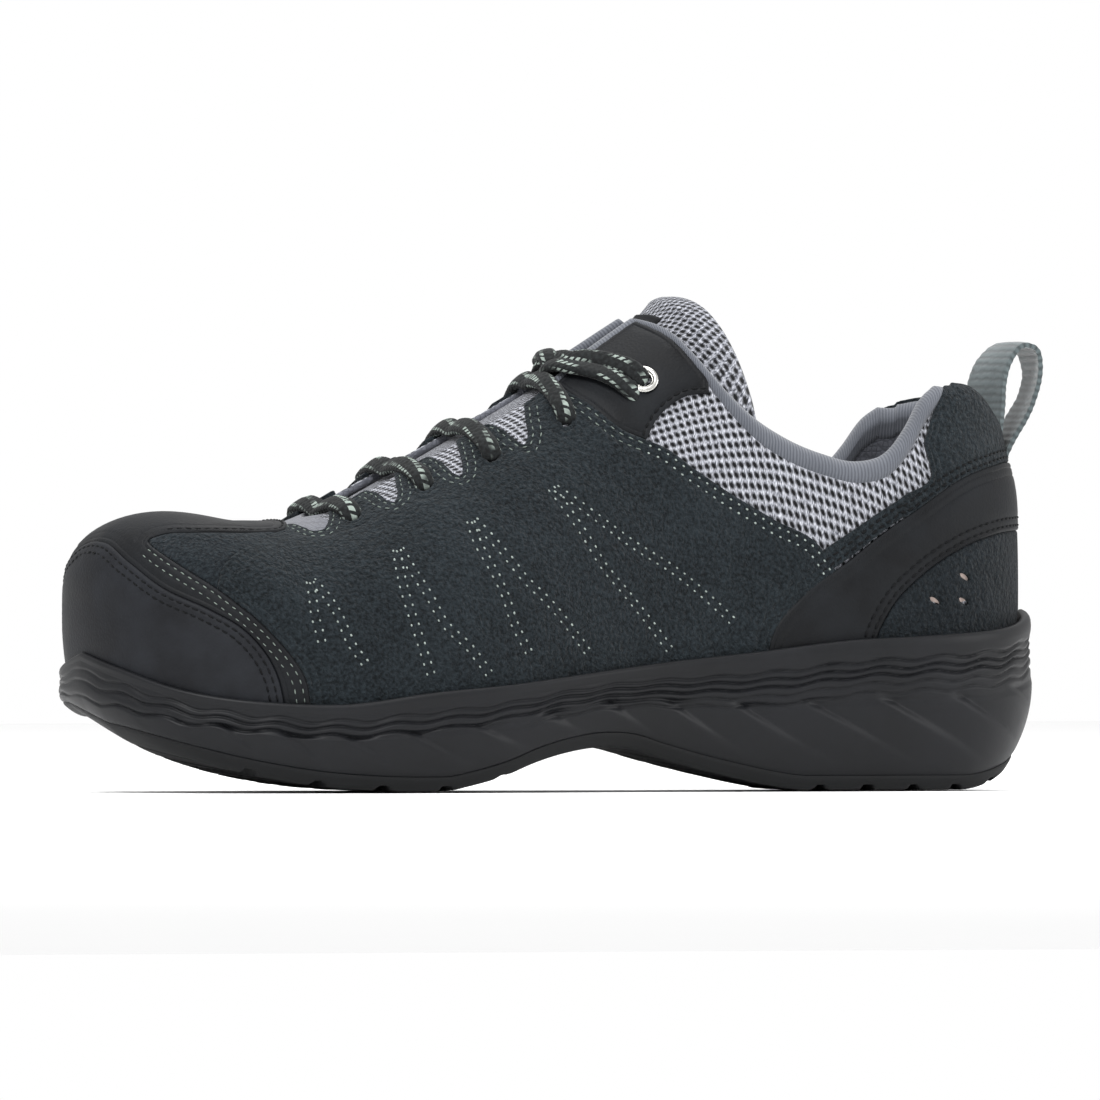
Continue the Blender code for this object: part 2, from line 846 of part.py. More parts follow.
def tub_ring(share_up, drop=0.0):
    """A ring on the inner face of the sole's wall, which leaves room for upper and overlays."""
    ring = []
    for around in COLUMNS[:-1]:
        top = up_at_height(around, along(RIM, 1, mirrored(around)) * SOLE_WALL_HEIGHT - drop)
        ring.append(on_facets(around, top * share_up, OVERLAY_ROOM))
        if share_up == 0:
            ring[-1][2] = floor_height(ring[-1][0])
    return ring


def ruled_cap(count, start):
    """Faces that span a ring, each column being joined to its mirror image."""
    faces = []
    for i in range(count // 2):
        j = i + 1
        corners = [i, j, count - j, (count - i) % count]
        corners = list(dict.fromkeys(corners))
        faces.append([start + c for c in corners])
    return faces


def ring_body(name, rings, finish):
    """A closed body through rings with as many points each, capped at its first and last ring."""
    count = len(rings[0])
    points = [p for ring in rings for p in ring]
    faces = []
    for r in range(len(rings) - 1):
        for i in range(count):
            j = (i + 1) % count
            low, high = r * count, (r + 1) * count
            faces.append([low + i, low + j, high + j])
            faces.append([low + i, high + j, high + i])
    faces += ruled_cap(count, 0) + ruled_cap(count, (len(rings) - 1) * count)
    return new_object(name, points, faces, finish)


def make_groove_cutter():
    """The bars that cut the tread: each runs across the sole, its ends slanting back."""
    points, faces = [], []
    half = GROOVE_WIDTH / 2
    for station in GROOVES:
        start = len(points)
        for y in np.linspace(-0.6, 0.6, 5) * BALL_WIDTH:
            x = station * SHOE_LENGTH + GROOVE_SLANT * abs(y)
            top = ground(x) + GROOVE_DEPTH
            corners = ((-1, -9 * MM), (1, -9 * MM), (1, 0.0), (-1, 0.0))
            points += [np.array([x + way * half, y, top + rise]) for way, rise in corners]
        for k in range(4):
            low, high = start + 4 * k, start + 4 * k + 4
            for c in range(4):
                d = (c + 1) % 4
                faces.append([low + c, low + d, high + d, high + c])
        faces += [[start + c for c in range(4)], [start + 16 + c for c in range(4)]]
    cutter = new_object("groove_cutter", points, faces, material("cutter", (1, 0, 0), 1))
    cutter.hide_render = True
    cutter.display_type = "WIRE"
    return cutter


def make_outsole(finish):
    rings = [
        side_ring(height=0.0, press=1.2 * MM),
        side_ring(height=1.6 * MM),
        side_ring(height=OUTSOLE_THICK),
    ]
    outsole = ring_body("outsole", rings, finish)
    cut = outsole.modifiers.new("tread grooves", "BOOLEAN")
    cut.solver = "EXACT"
    cut.operation = "DIFFERENCE"
    cut.object = make_groove_cutter()
    return outsole


def make_midsole(finish):
    rings = [side_ring(height=OUTSOLE_THICK + GAP, press=0.4 * MM)]
    rings.append(side_ring(height=OUTSOLE_THICK + 3 * MM, flute=FLUTE_DEPTH, lean=0.2))
    rings.append(side_ring(rise=0.40, flute=FLUTE_DEPTH, lean=0.7))
    rings.append(side_ring(rise=0.54, lean=1.0))
    rings.append(side_ring(rise=0.60, lean=0.8, press=STEP_DEPTH))
    rings.append(side_ring(rise=0.68, lean=0.6, press=STEP_DEPTH))
    rings.append(side_ring(rise=0.73, lean=0.5))
    rings.append(side_ring(rise=1.0, press=0.8 * MM))
    rings += [tub_ring(1.0), tub_ring(0.5), tub_ring(0.0)]
    return ring_body("midsole", rings, finish)


def make_insole(finish):
    foot = [on_facets(a, 0.0, -2 * GAP, True) for a in COLUMNS[:-1]]
    rings = []
    for height in (0.0, INSOLE_THICK):
        press = 0.5 * MM if height else 0.0
        ring = []
        for i, point in enumerate(foot):
            inward = -press * NORMALS[i, 0]
            level = floor_height(point[0]) + 2 * GAP + height
            ring.append(np.array([point[0] + inward[0], point[1] + inward[1], level]))
        rings.append(ring)
    return ring_body("insole", rings, finish)


def upper_outline(steps=1):
    """The upper's whole pattern: the foot's edge, and back along ridge, throat and collar."""
    bottom = [(a, 0.0) for a in COLUMNS]
    top = [(a, TOPS[i]) for i, a in enumerate(COLUMNS)]
    extra = [share_at(x) for x in THROAT_STEPS + COLLAR_STEPS]
    top += [(a, collar_up(a)) for a in extra] + [(2 - a, collar_up(2 - a)) for a in extra]
    return bottom + sorted(set(top), reverse=True)


def mirror(outline):
    return [(2 - a, u) for a, u in reversed(outline)]


def across_heel(seam):
    """A seam of the outer side carried over the middle line to the inner side."""
    return list(seam) + [(2 - a, u) for a, u in reversed(seam[:-1])]


def shrunk(outline, by):
    """The outline moved inwards, so that panels beside each other leave a gap."""
    loop = np.array(outline) * [PATTERN_AROUND, PATTERN_UP]
    before = loop - np.roll(loop, 1, 0)
    before /= np.linalg.norm(before, axis=1, keepdims=True)
    inward = np.stack([-before[:, 1], before[:, 0]], axis=1) * np.sign(turning(loop))
    nexts = np.roll(inward, -1, 0)
    middle = (inward + nexts) / 2
    middle /= np.maximum(np.sum(middle * middle, axis=1, keepdims=True), 0.3)
    moved = loop + by * middle
    for i, (a, u) in enumerate(outline):
        if u > 1 - 1e-9:
            moved[i, 1] = PATTERN_UP
        if abs(a % 2) < 1e-9:
            moved[i, 0] = loop[i, 0]
    return [tuple(p) for p in moved / [PATTERN_AROUND, PATTERN_UP]]


def top_edge(first, last, count, setback=EDGE_SETBACK):
    """The line under the throat's and the collar's edge, between two shares around."""
    shares = np.linspace(first, last, count)
    return [(float(a), collar_up(a) - setback) for a in shares]


def lace_holes(side, rows):
    holes = []
    for around, up in rows:
        bore = EYELET_HOLE if (around, up) == LACE_HOLES[-1] else LACE_HOLE
        holes.append(round_hole(around if side < 0 else 2 - around, up, bore / 2))
    return holes


def scallop(front, back, depth):
    """A round notch in the quarter's top edge, between two of its lace holes."""
    middle, half = (front + back) / 2, (back - front) / 2
    turns = [math.pi * k / 6 for k in range(7)]
    notch = [
        (middle - half * math.cos(t), depth + SCALLOP_ROUND * (1 - math.sin(t))) for t in turns
    ]
    start = [(front + SCALLOP_FLARE, collar_up(front) - EDGE_SETBACK)]
    return start + notch + [(back + SCALLOP_FLARE, collar_up(back) - EDGE_SETBACK)]


def quarter_outline():
    """The quarter: floor, front seam, scalloped edge of the throat, collar and heel seam."""
    outline = list(TOE_BAND_SEAM) + list(VAMP_SEAM[-2::-1]) + list(QUARTER_TIP)
    outline += scallop(*SCALLOPS[0])[1:]
    for notch in SCALLOPS[1:]:
        outline += scallop(*notch)
    outline += top_edge(0.507, 0.507, 1)
    outline += list(EYESTAY_SEAM) + list(COLLAR_MESH_SEAM)
    outline += [(a, u) for a, u in HEEL_STRAP_SEAM[2::-1]]
    return outline


def eyestay_outline():
    outline = top_edge(0.507, 0.600, 7) + top_edge(0.606, 0.634, 4)
    outline += list(reversed(EYESTAY_BACK)) + list(reversed(EYESTAY_SEAM))
    return outline


def toe_band_outline():
    """Half of the band behind the toe cap, with the strip that runs from it to the throat."""
    outline = list(TOE_CAP_SEAM) + list(TOE_BAND_SEAM) + list(VAMP_CORNER)
    return outline + list(STRIP_SEAM) + list(STRIP_END) + [(0.0, 1.0)]


def toe_cap_outlines():
    half = [(0.0, 0.03)] + list(TOE_CAP_SEAM[::-1])
    return [half, mirror(half)]


def over_heel(seam, top):
    """A panel round the heel: its top line and its lower line, both carried to the inner side."""
    return across_heel(seam) + across_heel(top)[::-1]


def floor_line(first, last):
    return [(first, 0.03)] + [(float(a), 0.03) for a in COLUMNS if first < a < last] + [(last, 0.03)]


def make_panels(leather, suede):
    """The panels sewn on the upper, all in one layer with gaps between them."""
    low = (GAP, False)
    high = (GAP + OVERLAY, False)
    cap_high = (GAP + TOE_CAP_OVERLAY, False)
    tight = 0.5 * GAP + 0.1 * MM
    layer("toe_cap", [shrunk(o, tight) for o in toe_cap_outlines()], low, cap_high, leather)
    band = shrunk(toe_band_outline(), tight)
    layer("toe_band", [band, mirror(band)], low, high, leather)
    vamp = shrunk(list(TOE_BAND_SEAM[-1:]) + list(VAMP_CORNER) + list(STRIP_SEAM)
                  + list(VAMP_SEAM[1:-1]), tight)
    quarter = shrunk(quarter_outline(), tight)
    eyestay = shrunk(eyestay_outline(), tight)
    for side, word in ((-1, "outer"), (1, "inner")):
        turn = list if side < 0 else mirror
        layer(f"vamp_{word}", [turn(vamp)], low, high, suede)
        layer(f"quarter_{word}", [turn(quarter)], low, high, suede, lace_holes(side, LACE_HOLES[:4]))
        layer(f"eyestay_{word}", [turn(eyestay)], low, high, leather, lace_holes(side, LACE_HOLES[4:]))
    collar = top_edge(HEEL_COLLAR_FROM, 1.0, 9)
    seam = [HEEL_MESH_SEAM[0]] + list(HEEL_STRAP_SEAM[4:])
    top = list(HEEL_MESH_SEAM[1:]) + collar
    layer("heel_collar", [shrunk(over_heel(seam, top), tight)], low, high, suede)
    strap_low = [(0.680, 0.03)] + floor_line(0.70, 0.783)[1:-1] + list(HEEL_PATCH_SEAM)
    layer("heel_strap", [shrunk(over_heel(strap_low, HEEL_STRAP_SEAM[1:]), tight)], low, high, leather)
    base = floor_line(0.783, 1.0)
    layer("heel_patch", [shrunk(over_heel(base, HEEL_PATCH_SEAM[1:]), tight)], low, high, suede)


def make_upper(finish):
    holes = lace_holes(-1, LACE_HOLES) + lace_holes(1, LACE_HOLES)
    return layer("upper", [upper_outline()], (0.0, True), (0.0, False), finish, holes)


def make_tongue(finish):
    side = [share_at(row[0]) for row in TONGUE]
    edge = [(a, up_beside(a, row[1] * BALL_WIDTH)) for a, row in zip(side, TONGUE)]
    outline = [(side[0], 1.0)] + edge + [(share_at(TONGUE_TOP), 1.0)]
    below = (-GAP - TONGUE_THICK, True)
    return layer("tongue", both_sides(outline), below, (-GAP, True), finish)


def swept(name, path, ups, section, finish):
    """A closed body through copies of a section, square to the path and upright along ups."""
    points, faces = [], []
    count = len(section)
    path = np.array(path)
    ways = np.gradient(path, axis=0)
    for place, way, up in zip(path, ways, ups):
        way = way / np.linalg.norm(way)
        across = np.cross(way, up)
        across /= np.linalg.norm(across)
        rise = np.cross(across, way)
        points += [place + a * across + b * rise for a, b in section]
    for k in range(len(path) - 1):
        for c in range(count):
            d = (c + 1) % count
            low, high = k * count, (k + 1) * count
            faces.append([low + c, low + d, high + d, high + c])
    last = (len(path) - 1) * count
    faces += [list(range(count)), [last + c for c in range(count)]]
    return new_object(name, points, faces, finish)


def over_last(keys, steps=3):
    """A path and its ways up over the last, through keys of around, up and offset."""
    path, ups = [], []
    for one, other in zip(keys, keys[1:]):
        for t in np.linspace(0, 1, steps, endpoint=False):
            around, up, offset = (1 - t) * np.array(one) + t * np.array(other)
            path.append(on_facets(around, up, offset))
            ups.append(on_facets(around, up, offset + MM) - path[-1])
    around, up, offset = keys[-1]
    path.append(on_facets(around, up, offset))
    ups.append(on_facets(around, up, offset + MM) - path[-1])
    return path, ups


def across_throat(start, finish_at, middle, low, end):
    """A path from one side's start over the ridge, where the two sides' shares differ."""
    around, up = start
    edge = collar_up(around + 0.5 * (middle - around)) - 0.02
    first, first_up = over_last(
        [(around, up, low), (around + 0.5 * (middle - around), edge, low), (middle, 1.0, LACE_CREST)]
    )
    around, up = finish_at
    back_edge = collar_up(around + 0.5 * (middle - around)) - 0.02
    flip = [(2 - around, up, end), (2 - around - 0.5 * (middle - around), back_edge, end)]
    second, second_up = over_last(flip + [(2 - middle, 1.0, LACE_CREST)])
    return first + second[-2::-1], first_up + second_up[-2::-1]


def lace_section():
    turns = np.arange(6) * math.pi / 3
    return [(LACE_WIDTH / 2 * math.cos(t), LACE_THICK / 2 * math.sin(t)) for t in turns]


def make_laces(finish):
    """The lace's crossings, which end over its holes."""
    low = GAP + OVERLAY + GAP + LACE_THICK / 2 + 0.25 * MM
    for row, hole in enumerate(LACE_HOLES[:4], 1):
        path, ups = across_throat(hole, hole, hole[0], low, low)
        swept(f"lace_bar_{row}", path, ups, lace_section(), finish)
    top = LACE_HOLES[4]
    foot = (CROSS_FOOT, collar_up(CROSS_FOOT) + 0.03)
    strands = []
    for name in ("lace_cross", "lace_cross_strand"):
        high = low + EYELET_FLANGE + GAP
        keys = [(*top, high), (0.5 * (top[0] + CROSS_MIDDLE), collar_up(top[0]) - 0.02, high)]
        first, first_up = over_last(keys + [(CROSS_MIDDLE, 1.0, LACE_CREST)])
        foot_keys = [(2 - foot[0], foot[1], LACE_FOOT), (2 - CROSS_MIDDLE, 1.0, LACE_CREST)]
        second, second_up = over_last(foot_keys, 5)
        path, ups = first + second[-2::-1], first_up + second_up[-2::-1]
        if name == "lace_cross_strand":
            path = [other_side(p) for p in path]
            ups = [p * [1, -1, 1] for p in ups]
        strands.append(swept(name, path, ups, lace_section(), finish))
    cross, strand = strands
    strand.hide_render = True
    strand.display_type = "WIRE"
    join = cross.modifiers.new("crossing strand", "BOOLEAN")
    join.solver = "EXACT"
    join.operation = "UNION"
    join.object = strand


def make_eyelet(name, around, up, finish):
    """A metal eyelet: a flange on the leather and a barrel in the hole, turned round the hole."""
    under = [on_facets(a, u, 0.0) for a, u in round_hole(around, up, EYELET_RIM / 2, 16)]
    middle = np.mean(under, axis=0)
    normal = np.linalg.svd(np.array(under) - middle)[2][2]
    normal *= np.sign(normal @ last_normal(around, up))
    side = np.cross(normal, [0, 0, 1])
    side /= np.linalg.norm(side)
    over = np.cross(side, normal)
    seat = GAP + OVERLAY + 1.5 * GAP + max((np.array(under) - middle) @ normal)
    profile = (
        # radius, height over the last
        (EYELET_BORE, seat + 0.75 * EYELET_FLANGE),
        (EYELET_BORE + 0.7 * MM, seat + EYELET_FLANGE),
        (0.46 * EYELET_RIM, seat + 0.5 * EYELET_FLANGE),
        (0.50 * EYELET_RIM, seat),
        (EYELET_BORE + 0.35 * MM, seat),
        (EYELET_BORE + 0.35 * MM, -1.5 * MM),
        (EYELET_BORE, -1.5 * MM),
    )
    points, faces = [], []
    count = 10
    for radius, height in profile:
        for turn in np.arange(count) * 2 * math.pi / count:
            way = math.cos(turn) * side + math.sin(turn) * over
            points.append(middle + height * normal + radius * way)
    for k in range(len(profile)):
        low, high = k * count, (k + 1) % len(profile) * count
        for c in range(count):
            d = (c + 1) % count
            faces.append([low + c, low + d, high + d, high + c])
    return new_object(name, points, faces, finish)


def make_pull_loop(finish):
    edge = last_point(1.0, collar_up(1.0))
    path = [
        edge + np.array([behind * LOOP_HEIGHT, 0.0, above * LOOP_HEIGHT])
        for behind, above in LOOP
    ]
    ways = np.gradient(np.array(path), axis=0)
    ups = [np.cross(way, [0.0, 1.0, 0.0]) for way in ways]
    half, thick = LOOP_WEB_WIDTH / 2, LOOP_WEB_THICK / 2
    section = [(-half, -thick), (half, -thick), (half, thick), (-half, thick)]
    return swept("pull_loop", path, ups, section, finish)


def main():
    clear_scene()
    black = material("sole rubber", (0.02, 0.02, 0.022), 0.7)
    foam = material("midsole foam", (0.03, 0.03, 0.034), 0.75)
    mesh = material("knit mesh", (0.25, 0.26, 0.27), 0.9)
    liner = material("insole felt", (0.12, 0.12, 0.13), 0.95)
    make_outsole(black)
    make_midsole(foam)
    make_insole(liner)
    make_upper(mesh)
    make_tongue(mesh)
    leather = material("black leather", (0.035, 0.038, 0.045), 0.5)
    suede = material("dark suede", (0.07, 0.085, 0.09), 0.95)
    make_panels(leather, suede)
    lace = material("braided lace", (0.05, 0.055, 0.055), 0.9)
    steel = material("eyelet steel", (0.75, 0.75, 0.74), 0.3, metallic=1.0)
    webbing = material("grey webbing", (0.35, 0.38, 0.37), 0.85)
    make_laces(lace)
    make_eyelet("eyelet_outer", *LACE_HOLES[4], steel)
    make_eyelet("eyelet_inner", 2 - LACE_HOLES[4][0], LACE_HOLES[4][1], steel)
    make_pull_loop(webbing)


main()
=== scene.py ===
# %% [markdown]
# # A low safety sneaker for the left foot
# The real shoe is a knit shell with leather and suede sewn over it, on a thick moulded sole. The CAD
# solids give its sizes and its walls, and this lesson dresses them. Every piece is worked out from the
# same last as the CAD, so that all layers follow one another as they do on a shoemaker's form.

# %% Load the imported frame
import json
import math

import bmesh
import bpy
import numpy as np
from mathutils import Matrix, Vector
from mathutils.geometry import delaunay_2d_cdt
from mathutils.kdtree import KDTree

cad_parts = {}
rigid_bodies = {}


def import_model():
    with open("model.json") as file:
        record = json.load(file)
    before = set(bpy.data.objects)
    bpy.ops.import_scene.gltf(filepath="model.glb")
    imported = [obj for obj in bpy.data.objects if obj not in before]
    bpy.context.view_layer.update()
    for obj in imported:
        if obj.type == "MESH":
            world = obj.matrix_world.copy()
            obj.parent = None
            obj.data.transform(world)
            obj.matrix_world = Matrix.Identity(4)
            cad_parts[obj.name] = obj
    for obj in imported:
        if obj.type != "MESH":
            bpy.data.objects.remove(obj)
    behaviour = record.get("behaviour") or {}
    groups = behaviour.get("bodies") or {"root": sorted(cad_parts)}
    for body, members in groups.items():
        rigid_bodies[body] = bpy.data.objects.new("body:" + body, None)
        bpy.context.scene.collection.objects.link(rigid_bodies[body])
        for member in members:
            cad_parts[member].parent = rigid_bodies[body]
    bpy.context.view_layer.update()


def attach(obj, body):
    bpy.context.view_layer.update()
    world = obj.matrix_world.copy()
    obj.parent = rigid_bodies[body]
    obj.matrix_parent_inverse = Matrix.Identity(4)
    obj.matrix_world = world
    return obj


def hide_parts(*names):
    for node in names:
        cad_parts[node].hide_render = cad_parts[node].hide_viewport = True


for thing in list(bpy.data.objects):
    bpy.data.objects.remove(thing)
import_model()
MM = 0.001

# %% [markdown]
# ## The sizes of the last
# A last is the form that a shoe is made on. These are the same sizes and tables as in the CAD source,
# because the scene can't read that file. A table's first column is a place, and the others are shares
# of the size that its comment names.

# %% Sizes and tables
LENGTH, WIDTH, INSTEP, HEEL, WALL = 298.0, 107.0, 136.0, 118.0, 45.0
HEEL_CENTRE, TOE_PIVOT, HEEL_PIVOT = 0.8322 * LENGTH, 0.1745 * LENGTH, 0.8792 * LENGTH
TOE_SWELL, RIM_ROOM, GAP = 3.0, 4.6, 0.3
TOE_SHARE, HEEL_SHARE = 0.22, 0.86
# Plan of the sole: station, outer and inner half width as shares of WIDTH
PLAN = (
    (0.022, 0.160, 0.285), (0.067, 0.315, 0.375), (0.134, 0.425, 0.435), (0.205, 0.475, 0.467),
    (0.285, 0.510, 0.480), (0.370, 0.520, 0.440), (0.470, 0.470, 0.365), (0.555, 0.412, 0.325),
    (0.640, 0.382, 0.325), (0.740, 0.374, 0.348), (0.840, 0.364, 0.358), (0.925, 0.300, 0.300),
    (0.975, 0.180, 0.185),
)
TOE_TIP, HEEL_TIP = 0.052, 0.002
# Underside: station, height in millimetres
GROUND = (
    (0.000, 21.5), (0.034, 16.6), (0.067, 12.2), (0.117, 7.2), (0.168, 3.6), (0.220, 1.3),
    (0.275, 0.2), (0.300, 0.0), (0.329, 0.0), (0.356, 1.4), (0.396, 4.57), (0.430, 8.38),
    (0.463, 11.05), (0.505, 12.7),
    (0.537, 12.2), (0.570, 9.53), (0.620, 5.72), (0.658, 3.18), (0.690, 1.27), (0.725, 0.0),
    (0.893, 0.0), (0.930, 1.82), (0.962, 5.46), (1.000, 13.0),
)
# Sections of the last: share around, inset in RIM_ROOM, fullness, height of the widest, foot
SECTIONS = (
    (0.00, 0.79, 4.6, 0.50, 0.930), (0.06, 0.81, 4.3, 0.48, 0.930), (0.13, 0.86, 3.6, 0.42, 0.935),
    (0.20, 0.95, 2.9, 0.36, 0.940), (0.28, 1.00, 2.45, 0.31, 0.950), (0.36, 1.05, 2.2, 0.27, 0.955),
    (0.45, 1.07, 2.1, 0.25, 0.960), (0.55, 1.09, 2.15, 0.22, 0.960), (0.66, 1.16, 2.4, 0.20, 0.965),
    (0.80, 1.21, 2.5, 0.20, 0.965), (0.90, 1.21, 2.35, 0.22, 0.960), (1.00, 1.21, 2.3, 0.25, 0.950),
)
# Ridge over the instep: station, height in INSTEP, offset to the inner side in WIDTH
RIDGE = (
    (0.00, 0.580, 0.0), (0.175, 0.580, 0.0), (0.215, 0.578, 0.002), (0.255, 0.600, 0.005),
    (0.300, 0.648, 0.010), (0.345, 0.700, 0.014), (0.400, 0.768, 0.016), (0.455, 0.838, 0.014),
    (0.515, 0.918, 0.008), (0.575, 0.998, 0.0), (0.640, 1.080, -0.008), (0.710, 1.150, -0.010),
    (0.790, 1.160, -0.008), (0.875, 1.105, 0.0), (1.00, 1.105, 0.0),
)
# Floor inside the sole: station, height in WALL
FLOOR = (
    (0.00, 0.570), (0.05, 0.490), (0.11, 0.400), (0.20, 0.325), (0.33, 0.320), (0.42, 0.380),
    (0.52, 0.500), (0.64, 0.575), (0.80, 0.600), (1.00, 0.610),
)
# Tuck of the sole's side wall at the ground in millimetres, and its rim's height in WALL
SOLE_SIDE = ((0.00, 10.0), (0.10, 7.0), (0.25, 5.0), (0.75, 5.0), (0.90, 7.0), (1.00, 9.0))
RIM = (
    (0.00, 0.900), (0.05, 0.800), (0.12, 0.660), (0.20, 0.580), (0.27, 0.562), (0.35, 0.635),
    (0.43, 0.690), (0.50, 0.755), (0.58, 0.825), (0.67, 0.890), (0.76, 0.965), (0.84, 0.995),
    (0.92, 1.045), (1.00, 1.160),
)
# The collar's edge in HEEL, by station and behind the ankle by share, and the throat's half opening
COLLAR = (
    (0.560, 1.160), (0.580, 1.155), (0.604, 1.125), (0.624, 1.060), (0.645, 0.990), (0.670, 0.925),
    (0.705, 0.865), (0.745, 0.822), (0.785, 0.802), (0.815, 0.824), (0.842, 0.892), (0.862, 0.960),
    (0.879, 0.992),
)
COLLAR_BACK = ((0.882, 1.000), (0.915, 0.990), (0.955, 0.935), (0.985, 0.895), (1.000, 0.888))
THROAT = (
    (0.245, 0.000), (0.252, 0.058), (0.270, 0.092), (0.320, 0.112), (0.400, 0.125), (0.470, 0.125),
    (0.530, 0.070), (0.575, 0.050),
)
HOLES = ((0.307, 0.750), (0.372, 0.719), (0.434, 0.694), (0.505, 0.668), (0.578, 0.640))
UPPER_WALL, COLLAR_PAD, COLLAR_PAD_DEPTH, PAD_FROM, PAD_FULL = 2.4, 4.5, 30.0, 0.60, 0.70


def hermite(t, step, start, start_slope, end, end_slope):
    """A cubic from start to end over a step, with a slope at each."""
    low = (2 * t**3 - 3 * t**2 + 1) * start + (t**3 - 2 * t**2 + t) * step * start_slope
    return low + (3 * t**2 - 2 * t**3) * end + (t**3 - t**2) * step * end_slope


def run_along(points):
    """The way run at each point of a line."""
    return np.r_[0, np.cumsum(np.linalg.norm(np.diff(points, axis=0), axis=1))]


def curve(table, column, at):
    """A table's column at some places, on a smooth curve that never overshoots."""
    rows = np.array(table)
    x, y = rows[:, 0], rows[:, column]
    limit = 3 * np.abs(np.diff(y) / np.diff(x))
    bound = np.minimum(np.r_[np.inf, limit], np.r_[limit, np.inf])
    slope = np.clip(np.gradient(y, x), -bound, bound)
    at = np.clip(at, x[0], x[-1])
    i = np.clip(np.searchsorted(x, at, side="right") - 1, 0, len(x) - 2)
    step = x[i + 1] - x[i]
    return hermite((at - x[i]) / step, step, y[i], slope[i], y[i + 1], slope[i + 1])


print("the ridge at the instep is", round(float(curve(RIDGE, 1, 0.575)) * INSTEP, 1), "mm high")

# %% [markdown]
# ## The sole's outline
# The outline is a closed curve through the plan's points. A spline that keeps its bend even from one
# point to the next has no corners, as the edge of a real sole has none.

# %% The outline from above


def closed_curve(points, samples=24):
    """A closed curve with an even bend through points, as samples."""
    points = np.array(points, float)
    count = len(points)
    after = np.linalg.norm(np.roll(points, -1, 0) - points, axis=1)
    before = np.roll(after, 1)
    system = np.zeros((count, count))
    here = np.arange(count)
    system[here, here - 1] += after
    system[here, here] += 2 * (before + after)
    system[here, (here + 1) % count] += before
    rise = (np.roll(points, -1, 0) - points) / after[:, None]
    right = 3 * (after[:, None] * np.roll(rise, 1, 0) + before[:, None] * rise)
    slope = np.linalg.solve(system, right)
    t = np.linspace(0, 1, samples, endpoint=False)[None, :, None]
    start, end = points[:, None], np.roll(points, -1, 0)[:, None]
    leaving, arriving = (after[:, None] * slope)[:, None], (after[:, None] * np.roll(slope, -1, 0))[:, None]
    return hermite(t, 1, start, leaving, end, arriving).reshape(-1, 2)


def sole_plan():
    """The outline's samples on the outer and on the inner side, toe to heel."""
    corners = [(0.0, TOE_TIP * WIDTH)] + [(s * LENGTH, -o * WIDTH) for s, o, _ in PLAN]
    corners += [(LENGTH, HEEL_TIP * WIDTH)] + [(s * LENGTH, i * WIDTH) for s, _, i in reversed(PLAN)]
    loop = closed_curve(corners)
    front = int(np.argmin(loop[:, 0]))
    back = (int(np.argmax(loop[:, 0])) - front) % len(loop)
    loop = np.roll(loop, -front, 0)
    return loop[: back + 1], np.concatenate([loop[back:], loop[:1]])[::-1]


OUTER_PLAN, INNER_PLAN = sole_plan()


def plan_row(around):
    """Spine point, way outwards and half width at one share around."""
    share, side = (2 - around, 1) if around > 1 else (around, -1)
    x = TOE_PIVOT + (share - TOE_SHARE) / (HEEL_SHARE - TOE_SHARE) * (HEEL_PIVOT - TOE_PIVOT)
    turn = math.pi / 2
    if share < TOE_SHARE:
        x, turn = TOE_PIVOT, turn * share / TOE_SHARE
    elif share > HEEL_SHARE:
        x, turn = HEEL_PIVOT, turn * (1 + (share - HEEL_SHARE) / (1 - HEEL_SHARE))
    y = float(curve(RIDGE, 2, x / LENGTH)) * WIDTH
    edge, other = (OUTER_PLAN, INNER_PLAN) if side < 0 else (INNER_PLAN, OUTER_PLAN)
    edge = np.concatenate([other[40:0:-1], edge, other[-2:-40:-1]])
    seen = np.unwrap(np.arctan2(side * (edge[:, 1] - y), x - edge[:, 0]))
    half = np.interp(turn, seen, np.hypot(edge[:, 0] - x, edge[:, 1] - y))
    return x, y, -math.cos(turn), side * math.sin(turn), half


AROUNDS = np.linspace(0, 2, 1601)
PLAN_ROWS = np.array([plan_row(a) for a in AROUNDS]).T
print("the sole is", round(float(OUTER_PLAN[:, 0].max()), 1), "mm long")

# %% [markdown]
# ## A point on the last
# Two shares name a place: `around`, 0 at the toe tip, 1 at the heel, 2 at the toe tip again, and
# `up`, 0 at the sole and 1 on the ridge. A negative `around` is the inner side of the toe. All
# pieces call `place`, which also moves the point out from the last by an offset in millimetres.

# %% The last as a function


def plan_place(around):
    around = np.mod(around, 2)
    return [np.interp(around, AROUNDS, row) for row in PLAN_ROWS]


def mirrored(around):
    around = np.mod(around, 2)
    return np.minimum(around, 2 - around)


